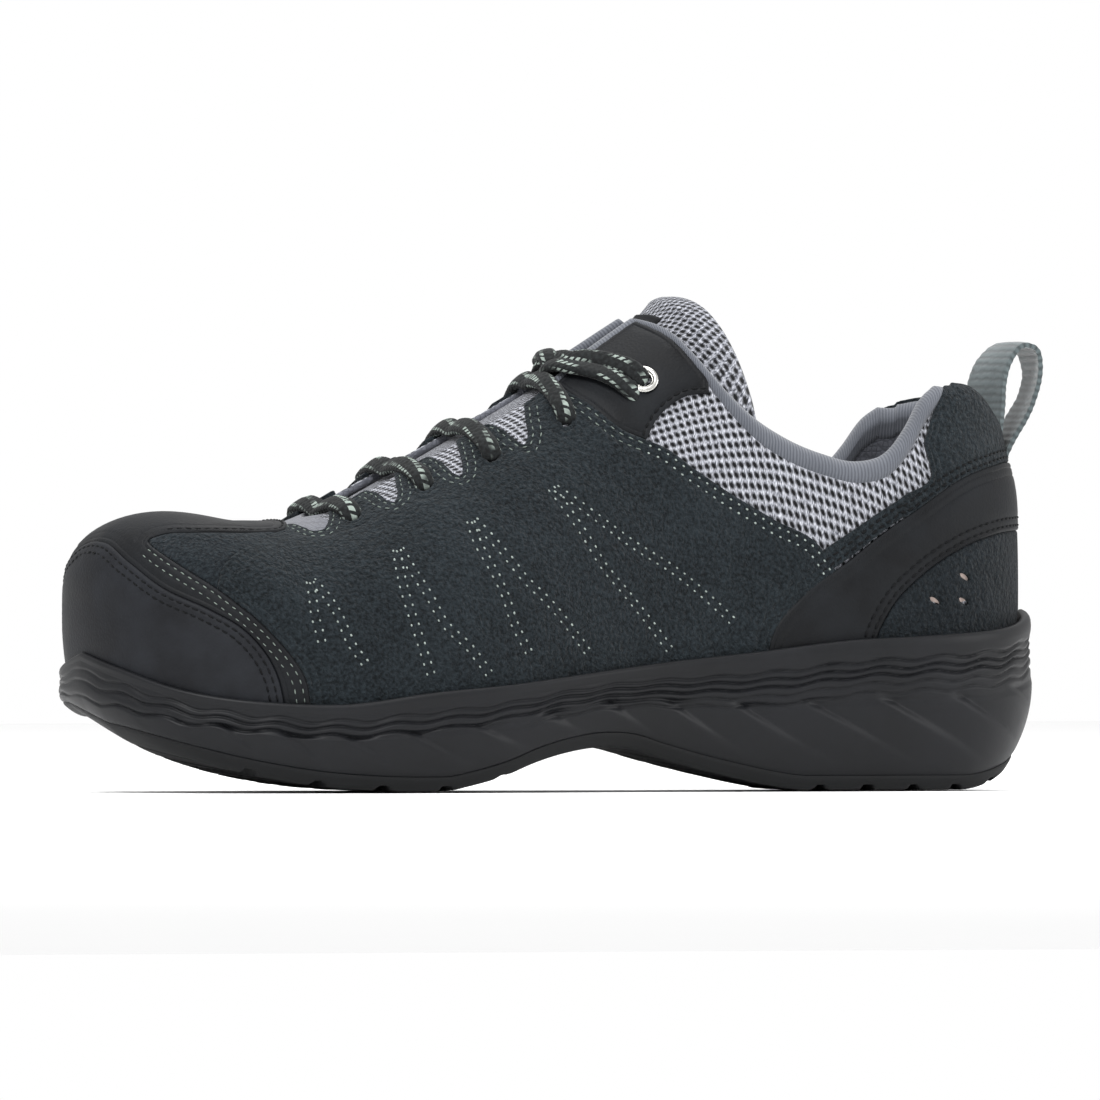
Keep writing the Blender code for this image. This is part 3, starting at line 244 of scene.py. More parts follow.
def last(around, up):
    """Points of the last in millimetres from the toe tip."""
    around, up = np.broadcast_arrays(np.asarray(around, float), np.asarray(up, float))
    share = mirrored(around)
    x, y, way_x, way_y, half = plan_place(around)
    full, widest, foot = (curve(SECTIONS, k, share) for k in (2, 3, 4))
    reach = half - curve(SECTIONS, 1, share) * RIM_ROOM
    low = curve(FLOOR, 1, (x + way_x * reach) / LENGTH) * WALL + GAP
    high = curve(RIDGE, 1, x / LENGTH) * INSTEP
    turn = widest / (widest + (1 - widest) * math.pi / 2)
    below = np.minimum(up / turn, 1)
    angle = np.clip((up - turn) / (1 - turn), 0, 1) * math.pi / 2
    cos, sin = np.maximum(np.cos(angle), 0), np.sin(angle)
    radius = (cos**full + sin**full) ** (-1 / full)
    out = np.where(up < turn, foot + (1 - foot) * np.sin(math.pi / 2 * below), radius * cos)
    rise = np.where(up < turn, widest * below, widest + (1 - widest) * radius * sin)
    fan = np.where(share < TOE_SHARE, np.cos(share / TOE_SHARE * math.pi / 2) ** 2, 0)
    swell = TOE_SWELL * 16 * out**2 * (1 - np.minimum(out, 1)) ** 2 * fan
    flat_x, flat_y = x + way_x * reach * out, y + way_y * reach * out
    return np.stack([flat_x, flat_y, low + (high - low) * rise + swell], -1)


def unit(vectors):
    return vectors / np.maximum(np.linalg.norm(vectors, axis=-1, keepdims=True), 1e-12)


def one_normal(around, up):
    near = 1e-3
    up = np.clip(up, near, 1 - 2 * near)
    across = last(around + near, up) - last(around - near, up)
    return unit(np.cross(across, last(around, up + near) - last(around, up - near)))


def normals(around, up):
    """The ways out of the last. At the ridge both sides share one."""
    around, up = np.broadcast_arrays(np.asarray(around, float), np.asarray(up, float))
    joined = np.clip((up - 0.96) / 0.04, 0, 1)[..., None]
    return unit(one_normal(around, up) + joined * one_normal(2 - around, up))


def place(around, up, offset=0.0):
    """Points in the shoe's frame in metres, moved out from the last by an offset in millimetres."""
    around, up = np.broadcast_arrays(np.asarray(around, float), np.asarray(up, float))
    points = last(around, up) + np.asarray(offset)[..., None] * normals(around, up)
    return (points - [HEEL_CENTRE, 0, 0]) * MM


print("the toe's top is", round(float(place(0.0, 1.0)[2]) / MM, 1), "mm high")

# %% [markdown]
# ## The edge of the opening
# The shell's top edge is the ridge up to the throat, then the throat, then the collar. It is found
# by halving the range again and again, for all places at once.

# %% Throat and collar


def share_at(station):
    part = (station * LENGTH - TOE_PIVOT) / (HEEL_PIVOT - TOE_PIVOT)
    return TOE_SHARE + part * (HEEL_SHARE - TOE_SHARE)


def solve_up(measure, wanted):
    low, high = np.zeros_like(wanted), np.ones_like(wanted)
    for _ in range(24):
        middle = (low + high) / 2
        less = measure(middle) < wanted
        low, high = np.where(less, middle, low), np.where(less, high, middle)
    return (low + high) / 2


THROAT_SHARE = share_at(THROAT[0][0])


def up_beside(around, beside):
    """The share up at a distance from the ridge, seen from above."""
    middle = plan_place(around)[1]
    return solve_up(lambda up: -np.abs(last(around, up)[..., 1] - middle), -beside)


def up_at_height(around, height):
    return solve_up(lambda up: last(around, up)[..., 2], height)


def find_top(share):
    station = plan_place(share)[0] / LENGTH
    throat = up_beside(share, curve(THROAT, 1, station) * WIDTH)
    collar = up_at_height(share, curve(COLLAR, 1, station) * HEEL)
    back = up_at_height(share, curve(COLLAR_BACK, 1, share) * HEEL)
    top = np.where(station < COLLAR[0][0], throat, np.minimum(throat, collar))
    return np.where(share <= THROAT_SHARE, 1.0, np.where(share > COLLAR_BACK[0][0], back, top))


TOP_SHARES = np.unique(np.r_[np.linspace(0, 1, 801), THROAT_SHARE + np.linspace(0, 0.03, 61)])
TOPS = find_top(TOP_SHARES)


def top(around):
    return np.interp(mirrored(around), TOP_SHARES, TOPS)


print("the collar's lowest place is", round(float(place(0.79, top(0.79))[2]) / MM, 1), "mm high")

# %% [markdown]
# ## Turning points into a piece
# A piece's object stays at the origin and its place is in its mesh, as for the CAD's own nodes. Points
# that meet are merged before the normals are set outwards. `pattern` keeps, for every point, its
# place on the cut piece of cloth in millimetres, and weaves follow it.

# %% One function makes every meshed piece
TOE_DROP, COLLAR_DROP, TOE_CUT, TOE_CUT_LENGTH, HEEL_SLIM = 2.6, 6.0, 4.3, 55, 2.0


def eased(a, b, value):
    t = np.clip((value - a) / (b - a), 0, 1)
    return t * t * (3 - 2 * t)


def fitted(points):
    """Small changes after the photograph: a shorter, lower toe, a slimmer heel, a lower inner collar."""
    x, y, z = (np.array(points, float) / MM).T
    x = x + HEEL_CENTRE
    toe = TOE_DROP * eased(105, 45, x) * eased(32, 70, z)
    collar = COLLAR_DROP * eased(3, 16, y) * eased(216, 236, x) * eased(288, 262, x) * eased(75, 90, z)
    heel = HEEL_SLIM * eased(84, 104, z) * eased(240, 272, x)
    x = x + TOE_CUT * np.clip(1 - x / TOE_CUT_LENGTH, 0, 1) ** 2 - heel
    return np.stack([x - HEEL_CENTRE, y, z - toe - collar], -1) * MM


def new_piece(name, points, faces, finish, replaces=(), pattern=None, sharp=40, fit=True):
    points = fitted(points) if fit else points
    mesh = bpy.data.meshes.new(name)
    mesh.from_pydata(np.asarray(points, float).tolist(), [], [[int(v) for v in f] for f in faces])
    if pattern is not None:
        layer = mesh.attributes.new("pattern", "FLOAT_VECTOR", "POINT")
        layer.data.foreach_set("vector", np.c_[pattern, np.zeros(len(pattern))].ravel())
    work = bmesh.new()
    work.from_mesh(mesh)
    bmesh.ops.remove_doubles(work, verts=work.verts, dist=0.01 * MM)
    bmesh.ops.recalc_face_normals(work, faces=work.faces)
    work.to_mesh(mesh)
    work.free()
    mesh.shade_smooth()
    mesh.set_sharp_from_angle(angle=math.radians(sharp))
    mesh.materials.append(finish)
    piece = bpy.data.objects.new(name, mesh)
    bpy.context.scene.collection.objects.link(piece)
    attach(piece, "root")
    if replaces:
        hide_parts(*replaces)
    print(name, "has", len(mesh.polygons), "faces")
    return piece


def grid_faces(rows, columns, around=False, over=False, start=0):
    """Quads between a grid's points, closed around its columns or over its rows if wanted."""
    i = np.arange(rows if over else rows - 1)[:, None]
    j = np.arange(columns if around else columns - 1)[None, :]
    a, b = i * columns + j, i * columns + (j + 1) % columns
    c, d = (i + 1) % rows * columns + (j + 1) % columns, (i + 1) % rows * columns + j
    return (np.stack([a, b, c, d], -1).reshape(-1, 4) + start).tolist()


def slab_faces(rows, columns):
    """Faces of a flap: a grid, the same grid behind it turned over, and a strip along their border."""
    count, faces = rows * columns, grid_faces(rows, columns)
    faces += [[v + count for v in f[::-1]] for f in faces]
    border = list(range(columns)) + [r * columns + columns - 1 for r in range(1, rows)]
    border += list(range(count - 2, count - columns - 1, -1)) + [r * columns for r in range(rows - 2, 0, -1)]
    return faces + [[b, a, a + count, b + count] for a, b in zip(border, border[1:] + border[:1])]


def tube_faces(rows, columns):
    """Faces of a tube of rings, with both ends closed."""
    end = (rows - 1) * columns
    faces = grid_faces(rows, columns, around=True)
    return faces + [list(range(columns))[::-1], [end + c for c in range(columns)]]


def tree_of(points):
    """A tree that finds the nearest of some points."""
    tree = KDTree(len(points))
    for i, point in enumerate(points):
        tree.insert(point, i)
    tree.balance()
    return tree


# %% [markdown]
# ## Lines on the last
# Seams, stitch rows and panel edges are lines of shares. They are sampled evenly by their real
# length, and `inset` moves a line sideways over the last by a real distance, to the left of its way.

# %% Smooth lines and their insets
PATTERN = np.array([345.0, 105.0])


def size_of(line):
    """Real lengths along a line on the last, in millimetres."""
    return run_along(place(line[:, 0], line[:, 1])) / MM


def evenly(line, spacing):
    length = size_of(line)
    at = np.linspace(0, length[-1], max(2, round(length[-1] / spacing) + 1))
    return np.stack([np.interp(at, length, line[:, k]) for k in (0, 1)], -1)


def seam(points, spacing=1.0):
    """A smooth line through a seam's points."""
    points = np.array(points, float)
    if len(points) > 2:
        s = run_along(points * PATTERN)
        fine = np.linspace(0, s[-1], int(s[-1] / 0.5) + 8)
        points = np.stack([curve(np.c_[s, points], k, fine) for k in (1, 2)], -1)
    else:
        points = points[:1] + np.linspace(0, 1, 60)[:, None] * (points[1:] - points[:1])
    return evenly(points, spacing)


def inset(line, by, closed=False):
    if closed:
        return inset(np.r_[line[-1:], line, line[:1]], by)[1:-1]
    near = 1e-4
    a, u = line.T
    along = (last(a + near, u) - last(a - near, u)) / (2 * near)
    up = np.where((u > 0.999)[:, None], last(a, u) - last(a, u - near), last(a, u + near) - last(a, u))
    up /= near
    step = np.gradient(line, axis=0)
    way = unit(step[:, :1] * along + step[:, 1:] * up)
    left = np.cross(unit(np.cross(along, up)), way)
    aa, uu, au = (along * along).sum(1), (up * up).sum(1), (along * up).sum(1)
    la, lu = (left * along).sum(1), (left * up).sum(1)
    base = np.maximum(aa * uu - au * au, 1e-9)
    move = np.stack([(la * uu - lu * au) / base, (lu * aa - la * au) / base], -1)
    return line + by * move


def mirror(line):
    """A line of the outer side on the inner side, run the other way so that its left stays inside."""
    return np.array([(2 - a, u) for a, u in line])[::-1]


def over_heel(line):
    return np.r_[line, mirror(line)[1:]]


def over_toe(line):
    """A line that starts at the toe tip, carried on from its image on the inner side."""
    return np.r_[[(-a, u) for a, u in line[:0:-1]], line]


# %% [markdown]
# ## A sewn panel
# A panel is cut along its outline, so its triangles come from a Delaunay triangulation of points on
# the outline, on rings inside it, and on an even field. The rings carry the rounded edge and the
# shallow groove that a tight thread draws into the leather. Modelling it from a grid and a knife
# would need a window, and would leave no even rings.

# %% Panels on the last


def turning(loop):
    following = np.roll(loop, -1, 0)
    return float(np.sum(loop[:, 0] * following[:, 1] - following[:, 0] * loop[:, 1]))


def inside(points, loop):
    """Whether points lie inside a loop, by counting the edges to their right."""
    x, y = points[:, :1], points[:, 1:]
    p, q = loop.T, np.roll(loop, -1, 0).T
    crosses = (p[1] > y) != (q[1] > y)
    with np.errstate(divide="ignore", invalid="ignore"):
        at = p[0] + (y - p[1]) / (q[1] - p[1]) * (q[0] - p[0])
    return (crosses & (x < at)).sum(1) % 2 == 1


def triangles(loops, field):
    """A triangulation inside the first loop and outside the others, through the field's points."""
    points = np.concatenate(list(loops) + [field]) * PATTERN
    faces, start = [], 0
    for loop in loops:
        order = list(range(start, start + len(loop)))
        faces.append(order if turning(loop * PATTERN) > 0 else order[::-1])
        start += len(loop)
    made = delaunay_2d_cdt([Vector(p) for p in points], [], faces, 0, 1e-4)
    kept = np.array([t for t, own in zip(made[2], made[5]) if list(own) == [0]])
    used, flat = np.unique(kept, return_inverse=True)
    return np.array([made[0][v][:] for v in used]) / PATTERN, flat.reshape(-1, 3)


def even_field(loop, spacing):
    low, high = (loop * PATTERN).min(0), (loop * PATTERN).max(0)
    rows = np.arange(low[1] + 0.37 * spacing, high[1], spacing * 0.87)
    columns = np.arange(low[0], high[0] + spacing, spacing)
    x = columns[None, :] + (np.arange(len(rows)) % 2)[:, None] * spacing / 2
    field = np.stack([x, np.broadcast_to(rows[:, None], x.shape)], -1).reshape(-1, 2) / PATTERN
    return field[inside(field, loop)]


def distances(shares, lines):
    """Real distances in millimetres from places to the nearest sample of some lines."""
    samples = np.concatenate([place(*evenly(line, 0.5).T) for line in lines])
    tree = tree_of(samples)
    return np.array([tree.find(p)[2] for p in place(shares[:, 0], shares[:, 1])]) / MM


def panel_parts(edges, joins, rings, spacing, holes):
    """Outline, field and distances of a panel. joins are the stretches that meet the other side."""
    loop = np.concatenate([line[:-1] for line in edges])
    free = np.concatenate([np.full(len(line) - 1, k not in joins) for k, line in enumerate(edges)])
    if turning(loop * PATTERN) < 0:
        loop, free = loop[::-1], free[::-1]
    lines = [line for k, line in enumerate(edges) if k not in joins]
    lines += [np.r_[hole, hole[:1]] for hole in holes]
    field = [even_field(loop, spacing)]
    field[0] = field[0][distances(field[0], lines) > max(rings) + 0.45 * spacing]
    for by in rings:
        ring = inset(loop, by, closed=True)[free]
        ring = np.concatenate([ring] + [inset(hole, -by, closed=True) for hole in holes])
        ring = ring[inside(ring, loop)]
        field.append(ring[distances(ring, lines) > 0.93 * by])
    return loop, np.concatenate(field), lines


def panel(name, edges, finish, slot, replaces, low=0.12, high=1.6, roll=0.9, grooves=(),
          joins=(), holes=(), spacing=2.0, relief=None):
    """A closed panel on the last, between the offsets low and high."""
    rings = [0.15, 0.45, roll] + [g + w for g in grooves for w in (-0.4, 0.0, 0.4)]
    loop, field, lines = panel_parts(edges, joins, rings, spacing, holes)
    shares, front = triangles([loop] + list(holes), field)
    depth = distances(shares, lines)
    rise = np.sqrt(np.clip(1 - (1 - np.minimum(depth / roll, 1)) ** 2, 0, 1))
    height = low + (high - low) * (0.45 + 0.55 * rise)
    for groove in grooves:
        height -= 0.28 * np.exp(-(((depth - groove) / 0.4) ** 2))
    if relief is not None:
        height += relief(shares, depth)
    count = len(shares)
    sides = np.concatenate([front[:, [0, 1]], front[:, [1, 2]], front[:, [2, 0]]])
    keys = {(a, b) for a, b in sides.tolist()}
    rim = [e for e in keys if e[::-1] not in keys]
    rim = [e for e in rim if min(shares[e[0], 1], shares[e[1], 1]) < 1 - 1e-6]
    back_shares, back = triangles([loop] + list(holes), even_field(loop, 4 * spacing))
    points = [draped(*shares.T, height), draped(*shares.T, low), draped(*back_shares.T, low)]
    faces = front.tolist() + [[b, a, a + count, b + count] for a, b in rim]
    faces += (back[:, ::-1] + 2 * count).tolist()
    pattern = np.concatenate([shares, shares, back_shares]) * PATTERN
    return new_piece(name, np.concatenate(points), faces, finish, replaces, pattern)


# %% [markdown]
# ## Stitches
# A stitch is a short length of thread that stands a little over the leather. It is modelled once, as
# a bead of 36 triangles, and set along a line with its own points each time. Doing it with a real
# thread through the leather would hide half of the triangles.

# %% Rows of stitches


def bead():
    """A thread's bead along x, between -1 and 1, as points and faces."""
    turns = np.arange(6) * math.pi / 3
    rings = [(x, r * math.cos(t), r * math.sin(t)) for x, r in ((-0.7, 0.8), (0, 1), (0.7, 0.8))
             for t in turns]
    faces = [[6 * k + c, 6 * k + (c + 1) % 6, 6 * k + 6 + (c + 1) % 6, 6 * k + 6 + c]
             for k in (0, 1) for c in range(6)]
    faces += [[18, (c + 1) % 6, c] for c in range(6)] + [[19, 12 + c, 12 + (c + 1) % 6] for c in range(6)]
    return np.array(rings + [(-1, 0, 0), (1, 0, 0)]), faces


def stitch_row(line, offset, length, gap, width, height, draw):
    """Points of the stitches along a line, as an array of beads."""
    total = size_of(line)[-1]
    count = max(1, int(total / (length + gap)))
    at = (np.arange(count) + 0.5) * total / count
    centre = np.stack([np.interp(at, size_of(line), line[:, k]) for k in (0, 1)], -1)
    ahead = np.stack([np.interp(at + 0.3, size_of(line), line[:, k]) for k in (0, 1)], -1)
    back = np.stack([np.interp(at - 0.3, size_of(line), line[:, k]) for k in (0, 1)], -1)
    way = unit(place(*ahead.T) - place(*back.T))
    out = normals(*centre.T)
    side = unit(np.cross(out, way))
    turn = np.radians(draw.normal(0, 4, count))[:, None]
    way, side = way * np.cos(turn) + side * np.sin(turn), side * np.cos(turn) - way * np.sin(turn)
    points = bead()[0] * [length / 2, width / 2, height / 2]
    grown = draw.normal(1, 0.05, count)[:, None, None]
    moved = np.einsum("pk,ckd->cpd", points, np.stack([way, side, out], 1)) * MM * grown
    return place(*centre.T, offset)[:, None] + moved


def stitches(name, rows, finish, length=2.1, gap=0.8, width=0.55, height=0.5, seed=1):
    """One piece with the stitches of all rows, each row being a line and its offset."""
    draw = np.random.default_rng(seed)
    rows = [stitch_row(line, off, length, gap, width, height, draw) for line, off in rows]
    beads = np.concatenate(rows)
    points, sides = bead()
    starts = range(0, len(beads) * len(points), len(points))
    faces = [[v + start for v in f] for start in starts for f in sides]
    return new_piece(name, beads.reshape(-1, 3), faces, finish, sharp=180)

# %% [markdown]
# ## Finishes
# A finish is a small tree of nodes in front of a Principled shader. Colours are written as sRGB hex
# values, as a colour picker shows them, and turned to the linear values that the shader works with.
# Noise on Object coordinates gives each material its own unevenness at its real size.

# %% Colours and nodes


def colour(code):
    srgb = [int(code[k : k + 2], 16) / 255 for k in (0, 2, 4)]
    linear = [c / 12.92 if c <= 0.04045 else ((c + 0.055) / 1.055) ** 2.4 for c in srgb]
    return (*linear, 1)


def add(tree, kind, settings=(), **inputs):
    """A node with its settings, and its inputs set or linked. An input is named or numbered i0, i1…"""
    made = tree.nodes.new("ShaderNode" + kind)
    for key, value in dict(settings).items():
        setattr(made, key, value)
    for key, value in inputs.items():
        socket = made.inputs[int(key[1:])] if key[1:].isdigit() else made.inputs[key.replace("_", " ")]
        if isinstance(value, bpy.types.NodeSocket):
            tree.links.new(value, socket)
        else:
            socket.default_value = value
    return made


def new_finish(name, **values):
    """A material with its tree, its shader and the Object coordinates."""
    made = bpy.data.materials.new(name)
    made.use_nodes = True
    tree = made.node_tree
    shader = tree.nodes["Principled BSDF"]
    for key, value in values.items():
        shader.inputs[key.replace("_", " ")].default_value = value
    return made, tree, shader, add(tree, "TexCoord").outputs["Object"]


def noise(tree, where, size, detail=2.0, rough=0.5):
    """Noise whose lumps are about size millimetres wide."""
    made = add(tree, "TexNoise", Vector=where, Scale=1000 / size / 2, Detail=detail, Roughness=rough)
    return made.outputs[0]


def math_node(tree, what, *values):
    named = {f"i{k}": v for k, v in enumerate(values)}
    return add(tree, "Math", [("operation", what)], **named).outputs[0]


def mixed(tree, factor, one, other):
    settings = [("data_type", "RGBA")]
    return add(tree, "Mix", settings, i0=factor, i6=one, i7=other).outputs[2]


def spread(tree, value, low, high, to_low=0.0, to_high=1.0):
    return add(tree, "MapRange", i0=value, i1=low, i2=high, i3=to_low, i4=to_high).outputs[0]


def raised(tree, shader, height, depth, strength=1.0):
    """Bump from a height of 0 to 1 that stands for depth millimetres."""
    bump = add(tree, "Bump", Height=height, Distance=depth * MM, Strength=strength)
    tree.links.new(bump.outputs[0], shader.inputs["Normal"])


# %% [markdown]
# Black leather on a safety shoe is corrected cowhide: its grain is sanded, coated and pressed with a
# fine pebble. It has a soft satin gloss, broken by the grain, and creases that are a little paler.

# %% Black leather


def leather(name, dark, light, grain, rough):
    made, tree, shader, where = new_finish(name, IOR=1.5, Specular_IOR_Level=0.12)
    pebbles = add(tree, "TexVoronoi", [("feature", "SMOOTH_F1")], Vector=where, Scale=1000 / grain)
    wear = noise(tree, where, 9, 4, 0.6)
    tone = mixed(tree, spread(tree, wear, 0.35, 0.75), colour(dark), colour(light))
    tree.links.new(tone, shader.inputs["Base Color"])
    tree.links.new(spread(tree, wear, 0.3, 0.7, rough - 0.07, rough + 0.08), shader.inputs["Roughness"])
    relief = math_node(tree, "MULTIPLY_ADD", noise(tree, where, 0.35), 0.6, pebbles.outputs["Distance"])
    raised(tree, shader, relief, 0.12, 0.7)
    return made


cap_leather = leather("coated cowhide, toe", "121316", "1f2125", 0.7, 0.6)
strap_leather = leather("coated cowhide, straps", "0b0c0e", "15171a", 0.8, 0.56)
print("leather finishes:", cap_leather.name, "and", strap_leather.name)

# %% [markdown]
# Suede is the split underside of a hide, brushed until its fibres stand up. Light catches the tips of
# the nap, so it has sheen and no gloss, and brushed patches are paler than the rest.

# %% Suede


def suede(name, dark, light, depth=0.9):
    made, tree, shader, where = new_finish(
        name, Roughness=0.95, IOR=1.4, Sheen_Weight=0.06, Sheen_Roughness=0.5, Specular_IOR_Level=0.08
    )
    nap = noise(tree, where, 0.5, 3, 0.6)
    clumps = noise(tree, where, 0.9, 2, 0.5)
    brushed = noise(tree, where, 16, 3, 0.6)
    nap_tone, brushed_tone = spread(tree, nap, 0.36, 0.68, 0, 0.8), spread(tree, brushed, 0.3, 0.7, 0, 0.25)
    shade = math_node(tree, "ADD", nap_tone, brushed_tone)
    tree.links.new(mixed(tree, shade, colour(dark), colour(light)), shader.inputs["Base Color"])
    relief = math_node(tree, "MULTIPLY_ADD", clumps, 1.2, nap)
    raised(tree, shader, relief, depth, 1.0)
    return made


quarter_suede = suede("split suede, quarter", "0c0f11", "23292d")
vamp_suede = suede("split suede, vamp", "0e1114", "23292d", 0.8)
patch_suede = suede("split suede, heel", "0b0e10", "1d2226")
print("suede finishes:", quarter_suede.name, vamp_suede.name, patch_suede.name)

# %% [markdown]
# The collar and tongue are a spacer knit: pale loops with a row of open cells between them, every
# second row moved on by half a cell. The open cells are painted near black, painted shade where the
# knit is deep, and the yarn is painted from a shade colour to its pale one along its strands, painted
# shade and painted highlight. The cells are counted on the cloth itself, in the `pattern` attribute,
# so they follow the collar round. They are 2.3 mm wide on the collar and 1.7 mm on the tongue, a
# little coarser than in the photograph, so that they still show.

# %% Knit cloth


def cells(tree, where, wide, high, tilt):
    """Distance from the middle of the nearest cell of a staggered grid, in cells."""
    turned = add(tree, "Mapping", Vector=where, Rotation=(0, 0, math.radians(tilt)))
    turned.inputs["Scale"].default_value = (1 / wide, 1 / high, 1)
    parts = add(tree, "SeparateXYZ", Vector=turned.outputs[0]).outputs
    odd = math_node(tree, "MODULO", math_node(tree, "FLOOR", parts[1]), 2.0)
    across = math_node(tree, "ADD", parts[0], math_node(tree, "MULTIPLY", odd, 0.5))
    x = math_node(tree, "SUBTRACT", math_node(tree, "FRACT", across), 0.5)
    y = math_node(tree, "SUBTRACT", math_node(tree, "FRACT", parts[1]), 0.5)
    slant = math_node(tree, "MULTIPLY_ADD", y, 0.75, x)
    square = math_node(tree, "ADD", math_node(tree, "POWER", slant, 2.0), math_node(tree, "POWER", y, 2.0))
    return math_node(tree, "SQRT", square)


def knit(name, yarn, shade, hole, wide, high, tilt, open_to):
    made, tree, shader, where = new_finish(name, Roughness=0.85, Sheen_Weight=0.1, Specular_IOR_Level=0.15)
    cloth = add(tree, "Attribute", [("attribute_name", "pattern")]).outputs["Vector"]
    away = cells(tree, cloth, wide, high, tilt)
    loop = spread(tree, away, open_to - 0.19, open_to + 0.11)
    loop = math_node(tree, "SMOOTH_MIN", loop, 1.0, 0.1)
    fibres = add(tree, "Mapping", Vector=cloth, Scale=(3.2, 0.9, 1))
    strand_shade_and_relief = add(tree, "TexNoise", Vector=fibres.outputs[0], Scale=1.3, Detail=3.0).outputs[0]
    # The strand noise paints the yarn between its shade colour and its pale colour: painted shade and painted
    # highlight on the yarn.
    body = mixed(tree, spread(tree, strand_shade_and_relief, 0.35, 0.68), colour(shade), colour(yarn))
    # The open cells take the near-black hole colour: painted shade in the deep cells of the knit.
    tree.links.new(mixed(tree, loop, colour(hole), body), shader.inputs["Base Color"])
    relief = math_node(tree, "MULTIPLY_ADD", strand_shade_and_relief, 0.35, loop)
    raised(tree, shader, relief, 0.55, 0.9)
    return made


# Colours: pale yarn, painted shade on the yarn, and painted shade in the open cells.
collar_knit = knit("spacer knit, collar", "c2c4cc", "3e4048", "050608", 2.3, 1.7, 14, 0.41)
tongue_knit = knit("spacer knit, tongue", "b0b2ba", "33353c", "08090b", 1.7, 1.25, 34, 0.40)
print("knit finishes:", collar_knit.name, tongue_knit.name)

# %% [markdown]
# The binding and the lining are finer cloths. The binding is a ribbed tape whose ribs run over the
# rim, with painted shade in the valleys between its ribs, the lining a brushed knit with small
# hexagons that are only just seen.

# %% Binding and lining


def ribbed(name, light, dark, pitch, depth, rough=0.85):
    """A tape whose ribs cross it, every pitch millimetres along the pattern's first axis."""
    made, tree, shader, where = new_finish(name, Roughness=rough, Sheen_Weight=0.25, Specular_IOR_Level=0.3)
    cloth = add(tree, "Attribute", [("attribute_name", "pattern")]).outputs["Vector"]
    parts = add(tree, "SeparateXYZ", Vector=cloth).outputs
    even = math_node(tree, "DIVIDE", parts[0], pitch)
    uneven = math_node(tree, "MULTIPLY_ADD", noise(tree, where, 1.5), 0.5, even)
    wave = math_node(tree, "SINE", math_node(tree, "MULTIPLY", uneven, 2 * math.pi))
    rib_height_and_shade = spread(tree, wave, -1.0, 0.8)
    # The crests take the light colour and the valleys the dark one: painted shade between the ribs.
    tone = mixed(tree, rib_height_and_shade, colour(dark), colour(light))
    worn = mixed(tree, spread(tree, noise(tree, where, 4, 3), 0.4, 0.75, 0, 0.35), tone, colour(dark))
    tree.links.new(worn, shader.inputs["Base Color"])
    raised(tree, shader, rib_height_and_shade, depth, 0.8)
    return made


def brushed(name, light, dark, cell):
    made, tree, shader, where = new_finish(name, Roughness=0.9, Sheen_Weight=0.35, Specular_IOR_Level=0.2)
    comb = add(tree, "TexVoronoi", [("feature", "DISTANCE_TO_EDGE")], Vector=where, Scale=1000 / cell)
    comb.inputs["Randomness"].default_value = 0.35
    line = spread(tree, comb.outputs["Distance"], 0.02, 0.16)
    fibre = spread(tree, noise(tree, where, 0.7, 3, 0.7), 0.3, 0.7, 0.5, 1)
    tone = mixed(tree, math_node(tree, "MULTIPLY", line, fibre), colour(dark), colour(light))
    tree.links.new(tone, shader.inputs["Base Color"])
    raised(tree, shader, line, 0.12, 0.7)
    return made


# In both tapes the dark colour is painted shade in the rib valleys.
binding_tape = ribbed("ribbed binding tape", "565960", "3f4249", 1.05, 0.10)
lining_cloth = brushed("brushed lining", "5b5d65", "43454c", 1.5)
insole_felt = brushed("insole felt", "3c3e43", "2b2c30", 1.3)
loop_webbing = ribbed("woven loop webbing", "4a5456", "2c3436", 2.2, 0.16, 0.5)
print("cloth finishes:", binding_tape.name, lining_cloth.name, loop_webbing.name)

# %% [markdown]
# The sole is injection-moulded rubber and foam. The mould's surface is spark-eroded, so the skin is
# matt with a very fine grain, and it shines a little where edges are rubbed.

# %% Moulded sole


def moulded(name, dark, light, rough):
    made, tree, shader, where = new_finish(name, IOR=1.5, Specular_IOR_Level=0.17)
    patch = noise(tree, where, 14, 4, 0.6)
    tone = mixed(tree, spread(tree, patch, 0.3, 0.7), colour(dark), colour(light))
    tree.links.new(tone, shader.inputs["Base Color"])
    tree.links.new(spread(tree, patch, 0.3, 0.7, rough - 0.05, rough + 0.07), shader.inputs["Roughness"])
    raised(tree, shader, noise(tree, where, 0.4, 3, 0.6), 0.05, 0.5)
    return made


side_rubber = moulded("moulded side rubber", "0d0e10", "141518", 0.48)
tread_rubber = moulded("moulded tread rubber", "0b0c0d", "111214", 0.62)
print("sole finishes:", side_rubber.name, tread_rubber.name)

# %% [markdown]
# The lace is a braid of dark yarn with a pale fleck yarn in it. Its relief is in its mesh, and the
# fleck follows the braid's two spirals by the same `pattern`, in braid cells.

# %% Lace, thread, metal and cloth label


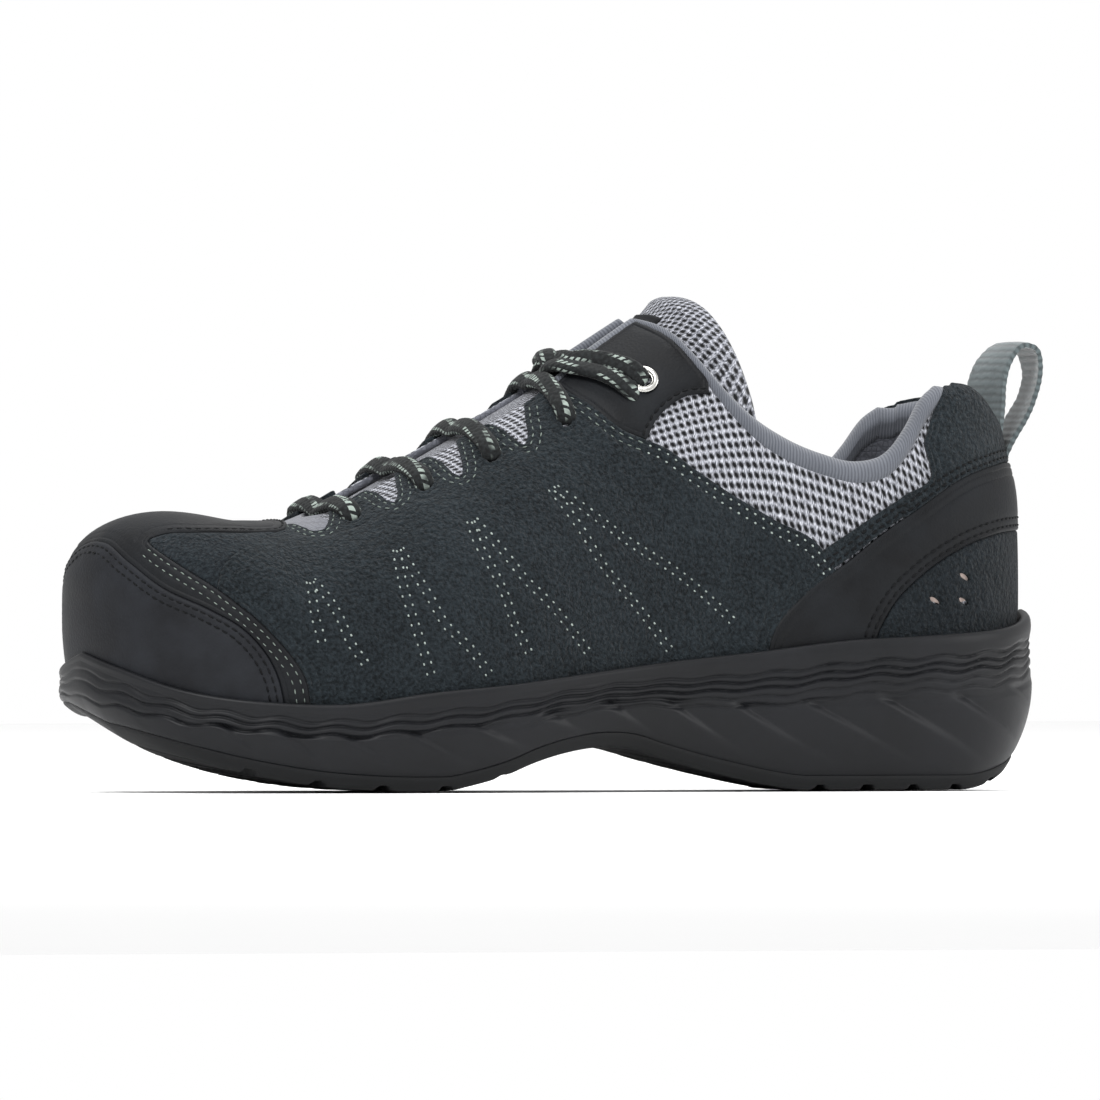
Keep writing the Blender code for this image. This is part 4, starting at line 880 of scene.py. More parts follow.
def braid(name, dark, grey, fleck):
    made, tree, shader, where = new_finish(name, Roughness=0.8, Sheen_Weight=0.05, Specular_IOR_Level=0.15)
    cloth = add(tree, "Attribute", [("attribute_name", "pattern")]).outputs["Vector"]
    parts = add(tree, "SeparateXYZ", Vector=cloth).outputs
    left = math_node(tree, "ADD", parts[0], parts[1])
    right = math_node(tree, "SUBTRACT", parts[0], parts[1])
    strand = math_node(tree, "MULTIPLY_ADD", left, 0.04, math_node(tree, "DIVIDE", parts[1], 3.0))
    lines = math_node(tree, "FRACT", strand)
    turns = math_node(tree, "FRACT", math_node(tree, "MULTIPLY", right, 0.5))
    broken = math_node(tree, "LESS_THAN", turns, 0.62)
    pale = math_node(tree, "MULTIPLY", math_node(tree, "LESS_THAN", lines, 0.33), broken)
    yarn = spread(tree, noise(tree, where, 0.5, 3), 0.35, 0.7)
    base = mixed(tree, yarn, colour(dark), colour(grey))
    pale = math_node(tree, "MULTIPLY", pale, spread(tree, noise(tree, where, 4), 0.40, 0.55))
    tree.links.new(mixed(tree, pale, base, colour(fleck)), shader.inputs["Base Color"])
    raised(tree, shader, yarn, 0.06, 0.6)
    return made


def plain(name, code, size, depth, **values):
    """A finish of one colour with fine unevenness, for threads and small cloths."""
    made, tree, shader, where = new_finish(name, **values)
    dust = spread(tree, noise(tree, where, size, 3), 0.3, 0.7, 0, 0.35)
    tree.links.new(mixed(tree, dust, colour(code), colour("101114")), shader.inputs["Base Color"])
    raised(tree, shader, dust, depth, 0.6)
    return made


lace_braid = braid("braided lace", "090a0b", "1a1d1e", "7f8983")
pale_thread = plain("pale green-grey thread", "6c766f", 1.2, 0.04, Roughness=0.7, Specular_IOR_Level=0.2)
dark_thread = plain("black bonded thread", "060708", 1.2, 0.04, Roughness=0.6, Specular_IOR_Level=0.1)
dot_thread = plain("pale reflective thread", "848e89", 1.2, 0.04, Roughness=0.6)
label_cloth = plain("bare woven label", "111214", 0.6, 0.08, Roughness=0.8, Specular_IOR_Level=0.15)
slot_cloth = plain("pale slot backing", "b9a79f", 0.8, 0.05, Roughness=0.9)
eyelet_steel, tree, shader, where = new_finish("nickel-plated steel", Metallic=1.0)
tone = mixed(tree, noise(tree, where, 2), colour("c9c8c4"), colour("a9a8a4"))
tree.links.new(tone, shader.inputs["Base Color"])
tree.links.new(spread(tree, noise(tree, where, 1), 0.3, 0.7, 0.18, 0.34), shader.inputs["Roughness"])
print("small finishes:", lace_braid.name, pale_thread.name, eyelet_steel.name)

# %% [markdown]
# ## The moulded sole
# The side wall is one moulding round the shoe. Under its rim run wavy grooves that bunch up and open
# like the strands of a rope, and from them shallow flutes lean back toward the heel and fade out.
# Rings of points round the shoe, each pressed in by that relief, give it in one even mesh.

# %% The side wall's shape
OUTSOLE_THICK, SIDE_WIDEST, RIM_TUCK = 4.2, 0.55, 0.8
WAVE_LENGTH, FLUTE_PITCH, FLUTE_DEPTH = 17.4, 17.0, 1.5
# Grooves under the rim: share of the wall's height at toe, ball, waist and heel, depth, phase
GROOVE_LINES = (
    (0.77, 0.79, 0.80, 0.880, 0.60, 0.0),
    (0.62, 0.71, 0.74, 0.830, 0.80, 0.5),
    (0.42, 0.61, 0.66, 0.785, 0.85, 1.0),
    (0.30, 0.55, 0.58, 0.730, 0.55, 1.6),
    (0.20, 0.48, 0.51, 0.670, 0.55, 2.2),
)


def edge_of_sole(around, inward):
    x, y, way_x, way_y, half = plan_place(around)
    return np.stack([x + way_x * (half - inward), y + way_y * (half - inward)], -1)


def ground(x, y):
    """Height of the underside. The inner side's toe and arch lie a little further back."""
    lag = 17 * np.clip((y + 8) / 40, 0, 1) * np.clip((248 - x) / 36, 0, 1)
    return curve(GROUND, 1, (x - lag) / LENGTH)


def wall_ends(around):
    """Heights of the underside and of the rim at a share around."""
    share = mirrored(around)
    edge = edge_of_sole(around, curve(SOLE_SIDE, 1, share))
    low = ground(edge[..., 0], edge[..., 1])
    return low, curve(RIM, 1, share) * WALL


def side_place(around, rise, press=0.0):
    share = mirrored(around)
    tuck = curve(SOLE_SIDE, 1, share) * np.maximum(0, 1 - rise / SIDE_WIDEST) ** 2
    tuck = tuck + RIM_TUCK * np.maximum(0, (rise - SIDE_WIDEST) / (1 - SIDE_WIDEST)) ** 2
    low, high = wall_ends(around)
    flat = edge_of_sole(around, tuck + press)
    return np.concatenate([flat - [HEEL_CENTRE, 0], (low + rise * (high - low))[..., None]], -1) * MM


HALF = np.linspace(0, 1, 2001)
RIM_RUN = run_along(edge_of_sole(HALF, 0.0))


def side_relief(around, rise):
    """How far the side wall is pressed in, in millimetres."""
    share = mirrored(around)
    run = np.interp(share, HALF, RIM_RUN)
    low, high = wall_ends(around)
    tall = high - low
    press = np.zeros(np.broadcast(around, rise).shape)
    swing = 0.75 + 0.25 * np.sin(run / 41)
    for toe, ball, waist, heel, depth, phase in GROOVE_LINES:
        middle = np.interp(share, [0.0, 0.2, 0.52, 0.76, 1.0], [toe, ball, waist, heel - 0.03, heel])
        wave = np.sin(2 * math.pi * run / WAVE_LENGTH + phase)
        away = (rise - middle) * tall - 0.62 * swing * wave
        shown = np.clip((share - (0.40 if depth < 0.6 else -0.03)) / 0.08, 0, 1)
        press = press + depth * shown * np.exp(-((away / 0.50) ** 2))
    band = np.clip((rise - 0.56) / 0.04, 0, 1) * np.clip((0.885 - rise) / 0.03, 0, 1)
    press = press + 0.35 * band * np.clip(share / 0.1, 0, 1)
    lean = run - 1.5 * (0.60 - rise) * tall
    part = np.mod(lean / (FLUTE_PITCH + 0.012 * run), 1)
    trough = np.where(part < 0.2, part / 0.2, (1 - (part - 0.2) / 0.8)) ** 1.5
    trough = trough * np.clip((0.64 - rise) / 0.05, 0, 1) * np.clip((rise - 0.12) / 0.4, 0, 1) ** 1.3
    fade = np.clip((share - 0.05) / 0.10, 0, 1) * np.clip((0.965 - share) / 0.06, 0, 1)
    return press + FLUTE_DEPTH * trough * fade * (0.65 + 0.5 * share)


print("the rim runs", round(float(RIM_RUN[-1])), "mm on the outer side")

# %% [markdown]
# The wall turns over a rounded rim and goes down inside to the floor on which the shell stands, where
# it is closed. Its underside is closed too, a hair above the outsole.

# %% The wall's rings
WALL_ROOM = 2.1
EVEN = np.interp(np.linspace(0, RIM_RUN[-1], 361), RIM_RUN, HALF)
ROUND = np.r_[EVEN, 2 - EVEN[-2:0:-1]]


def across_caps(count, start, turn=False):
    """Quads that join each column of a ring to its image on the other side."""
    faces = []
    for i in range(count // 2):
        corners = list(dict.fromkeys([i, i + 1, count - i - 1, (count - i) % count]))
        faces.append([start + c for c in (corners[::-1] if turn else corners)])
    return faces


def rim_edge(drop):
    """A ring on the inner face of the wall, drop millimetres under the rim."""
    up = up_at_height(ROUND, wall_ends(ROUND)[1] - drop)
    return place(ROUND, up, np.full(len(ROUND), WALL_ROOM))


low, high = wall_ends(ROUND)
tall = high - low
first = (OUTSOLE_THICK + 0.02) / tall
rings = []
for part in np.r_[0, 0.02, 0.05, np.linspace(0.09, 0.42, 24), np.linspace(0.43, 0.93, 72)]:
    rise = first + (1 - first) * part
    soft = 0.5 * np.clip(1 - part / 0.05, 0, 1) ** 2
    lip = 0.35 * np.clip((part - 0.86) / 0.07, 0, 1)
    rings.append(side_place(ROUND, rise, side_relief(ROUND, rise) + soft - lip + 0.2))
outer_lip, inner_lip = rings[-1], rim_edge(0.6)
crest = np.maximum(outer_lip[:, 2], inner_lip[:, 2]) + 0.9 * MM
for turn in np.linspace(0.12, 1, 9):
    angle = math.pi * turn
    ring = outer_lip + (inner_lip - outer_lip) * (1 - math.cos(angle)) / 2
    level = ring[:, 2] + (crest - ring[:, 2]) * math.sin(angle) ** 0.8
    rings.append(np.c_[ring[:, :2], level])
rings.append(rim_edge(4.0))
floor = place(ROUND, np.zeros(len(ROUND)), np.full(len(ROUND), WALL_ROOM))
rings.append(np.c_[floor[:, :2], floor[:, 2] - 0.25 * MM])
count = len(ROUND)
faces = grid_faces(len(rings), count, around=True)
faces += across_caps(count, 0, True) + across_caps(count, (len(rings) - 1) * count)
new_piece("sole_side", np.concatenate(rings), faces, side_rubber, ["midsole"])

# %% [markdown]
# ## The tread
# The outsole is a thin rubber sheet under the wall. Slanted grooves cross it where the CAD's do, a
# shallow channel runs along its middle, and small blocks stand between them. Each row of points
# crosses the sole from the outer edge to the inner one.

# %% The outsole's underside
GROOVES = (0.115, 0.175, 0.235, 0.295, 0.355, 0.715, 0.765, 0.815, 0.865, 0.915)
GROOVE_SLANT, GROOVE_WIDE, GROOVE_DEEP, ACROSS = 0.22, 3.4, 2.0, 96


def tread(x, y, edge):
    """Depth of the tread in millimetres at places of the underside, edge being the way to the rim."""
    from_middle = np.abs(y - curve(RIDGE, 2, x / LENGTH) * WIDTH)
    depth = np.zeros_like(x)
    for station in GROOVES:
        away = np.abs(x - GROOVE_SLANT * from_middle - station * LENGTH)
        depth = np.maximum(depth, GROOVE_DEEP * np.clip((GROOVE_WIDE / 2 + 0.5 - away) / 0.7, 0, 1))
    fine = np.mod(x - 0.5 * from_middle, 8.8)
    fine = 0.8 * np.clip((0.9 - np.abs(fine - 4.4)) / 0.5, 0, 1) * np.clip((from_middle - 7) / 2, 0, 1)
    channel = 1.4 * np.clip((2.4 - np.abs(from_middle - 5.5)) / 0.8, 0, 1)
    arch = np.clip((x / LENGTH - 0.37) / 0.02, 0, 1) * np.clip((0.70 - x / LENGTH) / 0.02, 0, 1)
    fine = np.maximum(fine, channel) * np.clip(edge / 2.5, 0, 1)
    return np.maximum(depth, fine) * (1 - 0.65 * arch) * np.clip(0.8 + edge / 12, 0, 1)


rows = len(EVEN)
outer, inner = EVEN, 2 - EVEN
TREAD_INSET = 1.0
sole_edge = [edge_of_sole(a, curve(SOLE_SIDE, 1, mirrored(a)) + TREAD_INSET) for a in (outer, inner)]
part = (1 - np.cos(np.linspace(0, math.pi, ACROSS))) / 2
part = 0.5 * part + 0.5 * np.linspace(0, 1, ACROSS)
under = sole_edge[0][:, None] + part[None, :, None] * (sole_edge[1] - sole_edge[0])[:, None]
width = np.linalg.norm(sole_edge[1] - sole_edge[0], axis=1)[:, None]
to_edge = np.minimum(part, 1 - part)[None, :] * width
level = ground(under[..., 0], under[..., 1]) + tread(under[..., 0], under[..., 1], to_edge)
under = np.concatenate([under - [HEEL_CENTRE, 0], level[..., None]], -1) * MM
points, faces = [under.reshape(-1, 3)], grid_faces(rows, ACROSS)
ring_of_edge = np.concatenate([under[:, 0], under[-2:0:-1, -1]])
rings = [ring_of_edge]
steps = ((0.25, 0.35), (0.7, 0.05), (1.3, 0.0), (2.0, 0.0), (2.9, 0.0), (3.6, 0.08), (OUTSOLE_THICK, 0.5))
for height, press in steps:
    ring = side_place(ROUND, height / tall, press)
    rings.append(np.c_[ring[:, :2], np.maximum(ring[:, 2], ring_of_edge[:, 2] + 0.08 * height * MM)])
faces += grid_faces(len(rings), count, around=True, start=len(points[0]))
faces += across_caps(count, len(points[0]) + (len(rings) - 1) * count, True)
points = np.concatenate(points + rings)
new_piece("outsole_tread", points, faces, tread_rubber, ["outsole"])

# %% [markdown]
# ## The knit shell and its lining
# The upper is one hollow sock of spacer knit. Its wall is thicker at the collar, where foam lies
# between knit and lining, and it rolls over into the shoe there. One closed grid is the outer face,
# the rolled rim, the lining and the strip under the foot, and its inner rows take the lining's cloth.

# %% Wall and rim


def pad_at(around, up):
    """The wall's thickness, with the collar's foam."""
    share = mirrored(around)
    edge = top(around)
    depth = np.linalg.norm(last(around, edge) - last(around, np.minimum(up, edge)), axis=-1)
    back = np.clip((share - PAD_FROM) / (PAD_FULL - PAD_FROM), 0, 1)
    near = np.clip(1 - depth / COLLAR_PAD_DEPTH, 0, 1)
    return UPPER_WALL + COLLAR_PAD * back**2 * (3 - 2 * back) * near**2 * (3 - 2 * near)


def rim_roll(around):
    """The edge's share up, the millimetres that a share up has there, and the roll's radius."""
    edge = top(around)
    rate = np.linalg.norm(last(around, edge) - last(around, edge - 0.02), axis=-1) / 0.02
    begun = np.clip((mirrored(around) - THROAT_SHARE) / 0.012, 1e-3, 1)
    return edge, rate, pad_at(around, edge) / 2 * begun


def over_rim(around, way, proud=0.0):
    """Points at `way` millimetres over the rim, negative outside, and proud of the cloth."""
    edge, rate, radius = rim_roll(around)
    angle = np.clip(way / radius, 0, math.pi)
    down = np.where(way < 0, -way, np.maximum(way - math.pi * radius, 0))
    up = edge - (radius * (1 - np.sin(angle)) + down - proud * np.sin(angle)) / rate
    inner = np.where(down > 0, pad_at(around, up), 2 * radius)
    offset = np.where(way > math.pi * radius, -inner - proud, -radius + (radius + proud) * np.cos(angle))
    return place(around, up, offset), up


thin = np.r_[0, 0.0006, 0.0015, 0.003, 0.0045, 0.006, 0.0085]
HALF_SHELL = np.unique(np.r_[np.linspace(0, 1, 301), THROAT_SHARE + thin])
SHELL = np.r_[HALF_SHELL, 2 - HALF_SHELL[-2:0:-1]]
edge, rate, radius = rim_roll(SHELL)
outer_top = np.where(mirrored(SHELL) > THROAT_SHARE, edge - radius / rate, edge)
levels = np.linspace(0, 1, 50)
rings = [place(SHELL, outer_top * t, np.zeros(len(SHELL))) for t in levels]
patterns = [np.c_[SHELL, outer_top * t] * PATTERN for t in levels]
for turn in np.linspace(0, 1, 13)[1:-1]:
    ring, up = over_rim(SHELL, math.pi * radius * turn)
    rings.append(ring)
    patterns.append(np.c_[SHELL, edge + 0.02 * turn] * PATTERN)
for t in levels[::-1]:
    rings.append(place(SHELL, outer_top * t, -pad_at(SHELL, outer_top * t)))
    patterns.append(np.c_[SHELL, outer_top * t] * PATTERN)
count = len(SHELL)
faces = grid_faces(len(rings), count, around=True, over=True)
vault = mirrored(SHELL) <= THROAT_SHARE + 1e-9
rolled = range(len(levels) - 1, len(levels) + 11)
kept, inner_cloth = [], []
for n, face in enumerate(faces):
    row, column = divmod(n, count)
    if row in rolled and vault[column] and vault[(column + 1) % count]:
        continue
    kept.append(face)
    inner_cloth.append(1 if row >= len(levels) + 2 else 0)


def new_shell(name, points, faces, finishes, which, pattern, replaces):
    """A piece with two finishes, which says for each face the one that it takes."""
    piece = new_piece(name, points, faces, finishes[0], replaces, pattern)
    piece.data.materials.append(finishes[1])
    tree = tree_of([np.mean([points[v] for v in f], axis=0) for f in faces])
    found = [which[tree.find(polygon.center)[1]] for polygon in piece.data.polygons]
    piece.data.polygons.foreach_set("material_index", found)
    return piece


new_shell(
    "knit_shell", np.concatenate(rings), kept, (collar_knit, lining_cloth), inner_cloth,
    np.concatenate(patterns), ["upper"],
)

# %% [markdown]
# A ribbed tape binds the rim: outside it shows as a band a few millimetres wide, it rolls over the
# foam, and inside it meets the lining. At the back the suede comes up to the rim and covers it.

# %% Binding tape
BIND_OUTSIDE = (
    # share around, width outside in millimetres
    (0.500, 1.6), (0.530, 2.6), (0.590, 2.8), (0.620, 2.9), (0.660, 3.0), (0.700, 2.6), (0.740, 2.1),
    (0.780, 2.0), (0.815, 2.2), (0.845, 2.2), (0.866, 0.6), (0.885, -2.6), (0.930, -3.4), (1.000, -3.6),
)
BIND_INSIDE, BIND_PROUD, BIND_PLUMP = 4.5, 0.4, 0.9
bound = np.linspace(0.500, 1.500, 520)
reach = math.pi * pad_at(bound, top(bound)) / 2
outside = curve(BIND_OUTSIDE, 1, mirrored(bound))
run = size_of(np.c_[bound, top(bound)])
rings, patterns = [], []
profile = np.r_[0, 0.02, 0.05, np.linspace(0.1, 0.9, 17), 0.95, 0.98, 1]
for part in profile:
    way = -outside + part * (reach + BIND_INSIDE + outside)
    end = min(part, 1 - part)
    swell = BIND_PROUD * (math.sin(math.pi * end * 5) if end < 0.1 else 1)
    rolled_part = np.clip((way + outside) / np.maximum(outside + 0.7 * reach, 1), 0, 1)
    swell = swell + BIND_PLUMP * np.sin(math.pi * rolled_part) ** 0.7 * eased(0.885, 0.855, mirrored(bound))
    ring, up = over_rim(bound, way, swell)
    rings.append(ring)
    patterns.append(np.c_[run, way])
for part in profile[::-1]:
    way = -outside + part * (reach + BIND_INSIDE + outside)
    ring, up = over_rim(bound, way, -0.35)
    rings.append(ring)
    patterns.append(np.c_[run, way])
count = len(bound)
faces = grid_faces(len(rings), count, over=True)
ends = [r * count for r in range(len(rings))], [r * count + count - 1 for r in range(len(rings))]
faces += [ends[0], ends[1][::-1]]
new_piece("collar_binding", np.concatenate(rings), faces, binding_tape,
          pattern=np.concatenate(patterns))

# %% [markdown]
# ## The tongue
# The tongue is a padded flap of the same knit under the throat. It is thin where the laces press on
# it and plump at its top, which stands over the collar. A bare dark label patch is sewn on its top.

# %% A padded flap
TONGUE = (
    # station, half width in WIDTH
    (0.222, 0.210), (0.300, 0.250), (0.400, 0.280), (0.500, 0.300), (0.600, 0.310), (0.650, 0.305),
    (0.680, 0.285),
)
TONGUE_TOP, TONGUE_BACK, TONGUE_THICK, TONGUE_PUFF = 0.628, 0.683, 5.0, 3.6


def tongue_place(ahead, aside, depth):
    """A place on the tongue: ahead from 0 to 1 at its top, aside from -1 to 1, depth from 0 to 1."""
    tip = TONGUE_TOP + (TONGUE_BACK - TONGUE_TOP) * np.abs(aside) ** 1.6
    station = TONGUE[0][0] + ahead * (tip - TONGUE[0][0])
    around = share_at(station)
    half = curve(TONGUE, 1, station) * WIDTH * np.clip((1.02 - ahead) / 0.02, 0, 1) ** 0.12
    up = up_beside(around, np.maximum(np.abs(aside) * half, 1e-4))
    out = np.where(aside > 0, 2 - around, around)
    puff = TONGUE_PUFF * np.clip((ahead - 0.84) / 0.11, 0, 1) ** 2 * (1 - 0.5 * np.abs(aside) ** 2)
    tip_round = np.sqrt(np.clip(1 - np.clip((ahead - 0.955) / 0.045, 0, 1) ** 2, 0, 1))
    side_round = np.sqrt(np.clip(1 - np.abs(aside) ** 10, 0, 1))
    plump = tip_round * side_round
    middle = -UPPER_WALL - GAP - TONGUE_THICK / 2 + 0.35 * puff
    thick = (TONGUE_THICK + puff) / 2 * plump
    return place(out, up, middle + thick * depth)


asides = np.sin(np.linspace(-1, 1, 97) * math.pi / 2)
aheads = np.r_[np.linspace(0, 0.82, 70), np.linspace(0.83, 1, 44)]
grid = np.stack(np.meshgrid(aheads, asides, indexing="ij"), -1).reshape(-1, 2)
tongue_top = tongue_place(grid[:, 0], grid[:, 1], np.ones(len(grid)))
tongue_under = tongue_place(grid[:, 0], grid[:, 1], -np.ones(len(grid)))
cloth = np.c_[grid[:, 1] * 33, grid[:, 0] * 125]
faces = slab_faces(len(aheads), len(asides))
tongue = new_piece("tongue_pad", np.r_[tongue_top, tongue_under], faces, tongue_knit,
                   ["tongue"], np.r_[cloth, cloth], sharp=80)

# %% [markdown]
# ## Leather and suede
# Eleven panels are sewn over the knit. Those that reach the collar also follow its rolled rim, so a
# place above the start of the roll is laid over it. The toe cap overlaps the band, the band overlaps
# the vamp, and the suede of the quarter overlaps the eyestay, so each has its own height.

# %% Laying a panel over the rim


def draped(around, up, offset):
    edge, rate, radius = rim_roll(around)
    start = np.where(mirrored(around) > THROAT_SHARE, edge - radius / rate, 2.0)
    rolled, _ = over_rim(around, (up - start) * rate, offset)
    return np.where((up > start)[..., None], rolled, place(around, np.minimum(up, 1), offset))


def over_edge(first, last_share, count, over):
    """A line along the opening, `over` millimetres past the start of the rolled rim."""
    share = np.linspace(first, last_share, count)
    edge, rate, radius = rim_roll(share)
    return np.c_[share, edge + (over - radius) / rate]


def floor_line(first, last_share):
    share = np.linspace(first, last_share, max(2, int(abs(last_share - first) * 180)))
    return np.c_[share, np.full(len(share), 0.03)]


# %% [markdown]
# The seams are places around and up, close to the CAD's. The quarter's top edge has a V-shaped notch
# before each pair of lace holes, where the knit of the tongue shows.

# %% Seams
CAP_SEAM = (
    (0.000, 0.668), (0.018, 0.660), (0.058, 0.600), (0.103, 0.505), (0.152, 0.428), (0.180, 0.370),
    (0.200, 0.295), (0.212, 0.220), (0.220, 0.120), (0.222, 0.030),
)
BAND_SEAM = (
    (0.245, 0.030), (0.243, 0.120), (0.238, 0.200), (0.224, 0.285), (0.212, 0.338), (0.197, 0.395),
    (0.177, 0.452), (0.155, 0.508), (0.125, 0.566), (0.095, 0.620), (0.075, 0.655),
)
STRIP_SEAM = (
    (0.075, 0.655), (0.069, 0.672), (0.078, 0.690), (0.125, 0.706), (0.185, 0.738), (0.245, 0.786),
    (0.258, 0.880), (0.262, 1.000),
)
VAMP_SEAM = ((0.155, 0.508), (0.162, 0.590), (0.180, 0.640), (0.212, 0.706), (0.245, 0.786))
NOTCHES = (
    ((0.262, 0.850), (0.266, 0.790), (0.270, 0.752), (0.277, 0.746), (0.287, 0.785), (0.296, 0.863)),
    ((0.331, 0.862), (0.336, 0.800), (0.339, 0.735), (0.3425, 0.717), (0.347, 0.735), (0.352, 0.790),
     (0.358, 0.858)),
    ((0.389, 0.850), (0.394, 0.790), (0.3985, 0.708), (0.4025, 0.684), (0.406, 0.704), (0.410, 0.760),
     (0.415, 0.846)),
    ((0.444, 0.838), (0.451, 0.780), (0.458, 0.702), (0.4635, 0.671), (0.468, 0.690), (0.472, 0.750),
     (0.478, 0.822)),
)
EYESTAY_SEAM = (
    (0.508, 0.836), (0.511, 0.790), (0.516, 0.740), (0.527, 0.672), (0.552, 0.552), (0.572, 0.502),
)
EYESTAY_BACK = ((0.572, 0.502), (0.584, 0.532), (0.612, 0.545), (0.634, 0.524))
MESH_SEAM = (
    (0.572, 0.502), (0.588, 0.468), (0.615, 0.400), (0.640, 0.350), (0.688, 0.277), (0.734, 0.225),
    (0.747, 0.192),
)
STRAP_SEAM = (
    (0.680, 0.030), (0.686, 0.094), (0.713, 0.150), (0.760, 0.206), (0.812, 0.275), (0.865, 0.344),
    (0.930, 0.378), (1.000, 0.386),
)
HEEL_MESH_SEAM = ((0.735, 0.222), (0.777, 0.266), (0.815, 0.314), (0.843, 0.362), (0.838, 0.405))
PATCH_SEAM = (
    (0.783, 0.030), (0.786, 0.088), (0.797, 0.128), (0.828, 0.190), (0.870, 0.240), (0.910, 0.262),
    (0.955, 0.270), (1.000, 0.272),
)


def hole_at(around, up, across, rise=None, tilt=0.0, count=28):
    """A round or long hole's outline, sized in millimetres."""
    rise = rise or across
    turns = np.arange(count) * 2 * math.pi / count
    x, y = across / 2 * np.cos(turns), rise / 2 * np.sin(turns)
    x, y = x * math.cos(tilt) - y * math.sin(tilt), x * math.sin(tilt) + y * math.cos(tilt)
    per_around = np.linalg.norm(last(around + 0.01, up) - last(around, up)) / 0.01
    per_up = np.linalg.norm(last(around, up + 0.01) - last(around, up)) / 0.01
    return np.c_[around + x / per_around, up + y / per_up]


def wanted(line, spacing=0.9):
    return evenly(np.array(line, float), spacing)


notches = [seam(row) for row in NOTCHES]
quarter_top = [[(0.245, 0.786), (0.251, 0.830), (0.256, 0.862)]] + notches
quarter_top = np.concatenate(quarter_top + [over_edge(0.497, 0.506, 3, -0.8), [(0.508, 0.836)]])
outer_quarter = [
    seam(BAND_SEAM[:8]), seam(VAMP_SEAM), wanted(quarter_top), seam(EYESTAY_SEAM), seam(MESH_SEAM),
    wanted([(0.747, 0.192), (0.713, 0.150)]), seam(STRAP_SEAM[2::-1]), floor_line(0.680, 0.245),
]
eyestay_top = over_edge(0.508, 0.634, 60, -2.2)
eyestay_end = wanted([eyestay_top[-1], (0.634, 0.524)], 0.8)
outer_eyestay = [seam(EYESTAY_SEAM)[::-1], wanted(eyestay_top), eyestay_end, seam(EYESTAY_BACK)[::-1]]
outer_vamp = [seam(BAND_SEAM[7:]), seam(STRIP_SEAM[:6]), seam(VAMP_SEAM)[::-1]]
print("the quarter's edge runs", round(sum(float(size_of(line)[-1]) for line in outer_quarter)), "mm")

# %% [markdown]
# Suede and leather are never quite flat over foam: the quarter swells a little between its rows of
# stitches and sinks along them, and the vamp has two soft folds where the toes bend.

# %% The stitch fans on the quarter
FANS = (
    ((0.247, 0.544), (0.247, 0.494), (0.247, 0.431), (0.250, 0.369), (0.253, 0.312)),
    ((0.247, 0.544), (0.258, 0.488), (0.268, 0.413), (0.278, 0.312), (0.292, 0.231)),
    ((0.330, 0.569), (0.328, 0.494), (0.330, 0.406), (0.335, 0.331), (0.343, 0.238), (0.350, 0.169)),
    ((0.330, 0.569), (0.338, 0.481), (0.352, 0.375), (0.362, 0.306), (0.385, 0.225), (0.405, 0.144)),
    ((0.398, 0.556), (0.400, 0.481), (0.410, 0.400), (0.420, 0.325), (0.427, 0.256), (0.443, 0.169)),
    ((0.398, 0.556), (0.410, 0.488), (0.425, 0.413), (0.440, 0.344), (0.463, 0.269), (0.503, 0.131)),
    ((0.473, 0.537), (0.487, 0.456), (0.503, 0.375), (0.520, 0.294), (0.540, 0.231), (0.588, 0.094)),
    ((0.473, 0.537), (0.495, 0.463), (0.520, 0.388), (0.545, 0.325), (0.598, 0.225), (0.650, 0.125)),
)
fan_lines = [seam(fan) for fan in FANS]


def quarter_relief(shares, depth):
    """Soft swells of the quarter, with a shallow trough along each fan of stitches."""
    outer = np.c_[mirrored(shares[:, 0]), shares[:, 1]]
    away = distances(outer, fan_lines)
    swell = 0.35 * np.sin(outer[:, 0] * 74 + outer[:, 1] * 9) * np.sin(outer[:, 1] * 12 + 1)
    fold = 0.5 * np.exp(-(((outer[:, 0] - 0.262 - 0.05 * outer[:, 1]) / 0.012) ** 2))
    calm = np.clip((depth - 1) / 6, 0, 1) * np.clip((away - 2) / 6, 0, 1)
    fold = fold * np.clip((0.62 - outer[:, 1]) / 0.2, 0, 1)
    return calm * (swell - fold) - 0.4 * np.exp(-((away / 1.9) ** 2))


def vamp_relief(shares, depth):
    swell = np.sin(shares[:, 1] * 40 + mirrored(shares[:, 0]) * 25)
    return 0.22 * swell * np.clip((depth - 1) / 4, 0, 1)


print("the fans run", round(sum(float(size_of(line)[-1]) for line in fan_lines)), "mm on each side")

# %% [markdown]
# Each panel is made from its edges in order. What the outer side has, the inner side gets mirrored.

# %% The panels


def both(name, edges, finish, slot, **more):
    holes = more.pop("holes", ())
    panel(f"{name}_outer", edges, finish, slot, [f"{name}_outer"], holes=holes, **more)
    flipped = [mirror(line) for line in edges[::-1]]
    panel(f"{name}_inner", flipped, finish, slot, [f"{name}_inner"], holes=[mirror(h) for h in holes], **more)


cap_line, band_line, strip_line = seam(CAP_SEAM), seam(BAND_SEAM), seam(STRIP_SEAM)
panel("toe_cap_leather", [over_toe(cap_line), floor_line(0.222, -0.222)], cap_leather, "black_leather",
      ["toe_cap"], high=2.3, roll=1.3, grooves=(1.7, 3.9), spacing=2.2)
side = [wanted([(0.222, 0.030), (0.245, 0.030)]), band_line, strip_line]
ridge = [(0.262, 1.0), (0.250, 1.0), (0.236, 1.0), (0.221, 1.0), (0.0, 1.0)]
ridge = np.array(ridge + [(-a, u) for a, u in ridge[-2::-1]])
other = [np.array([(-a, u) for a, u in line])[::-1] for line in side[::-1]]
panel("toe_band_leather", [over_toe(cap_line)] + side + [ridge] + other, strap_leather, "black_leather",
      ["toe_band"], high=1.9, roll=1.0, grooves=(1.6, 3.9), joins=(4,), spacing=1.8)
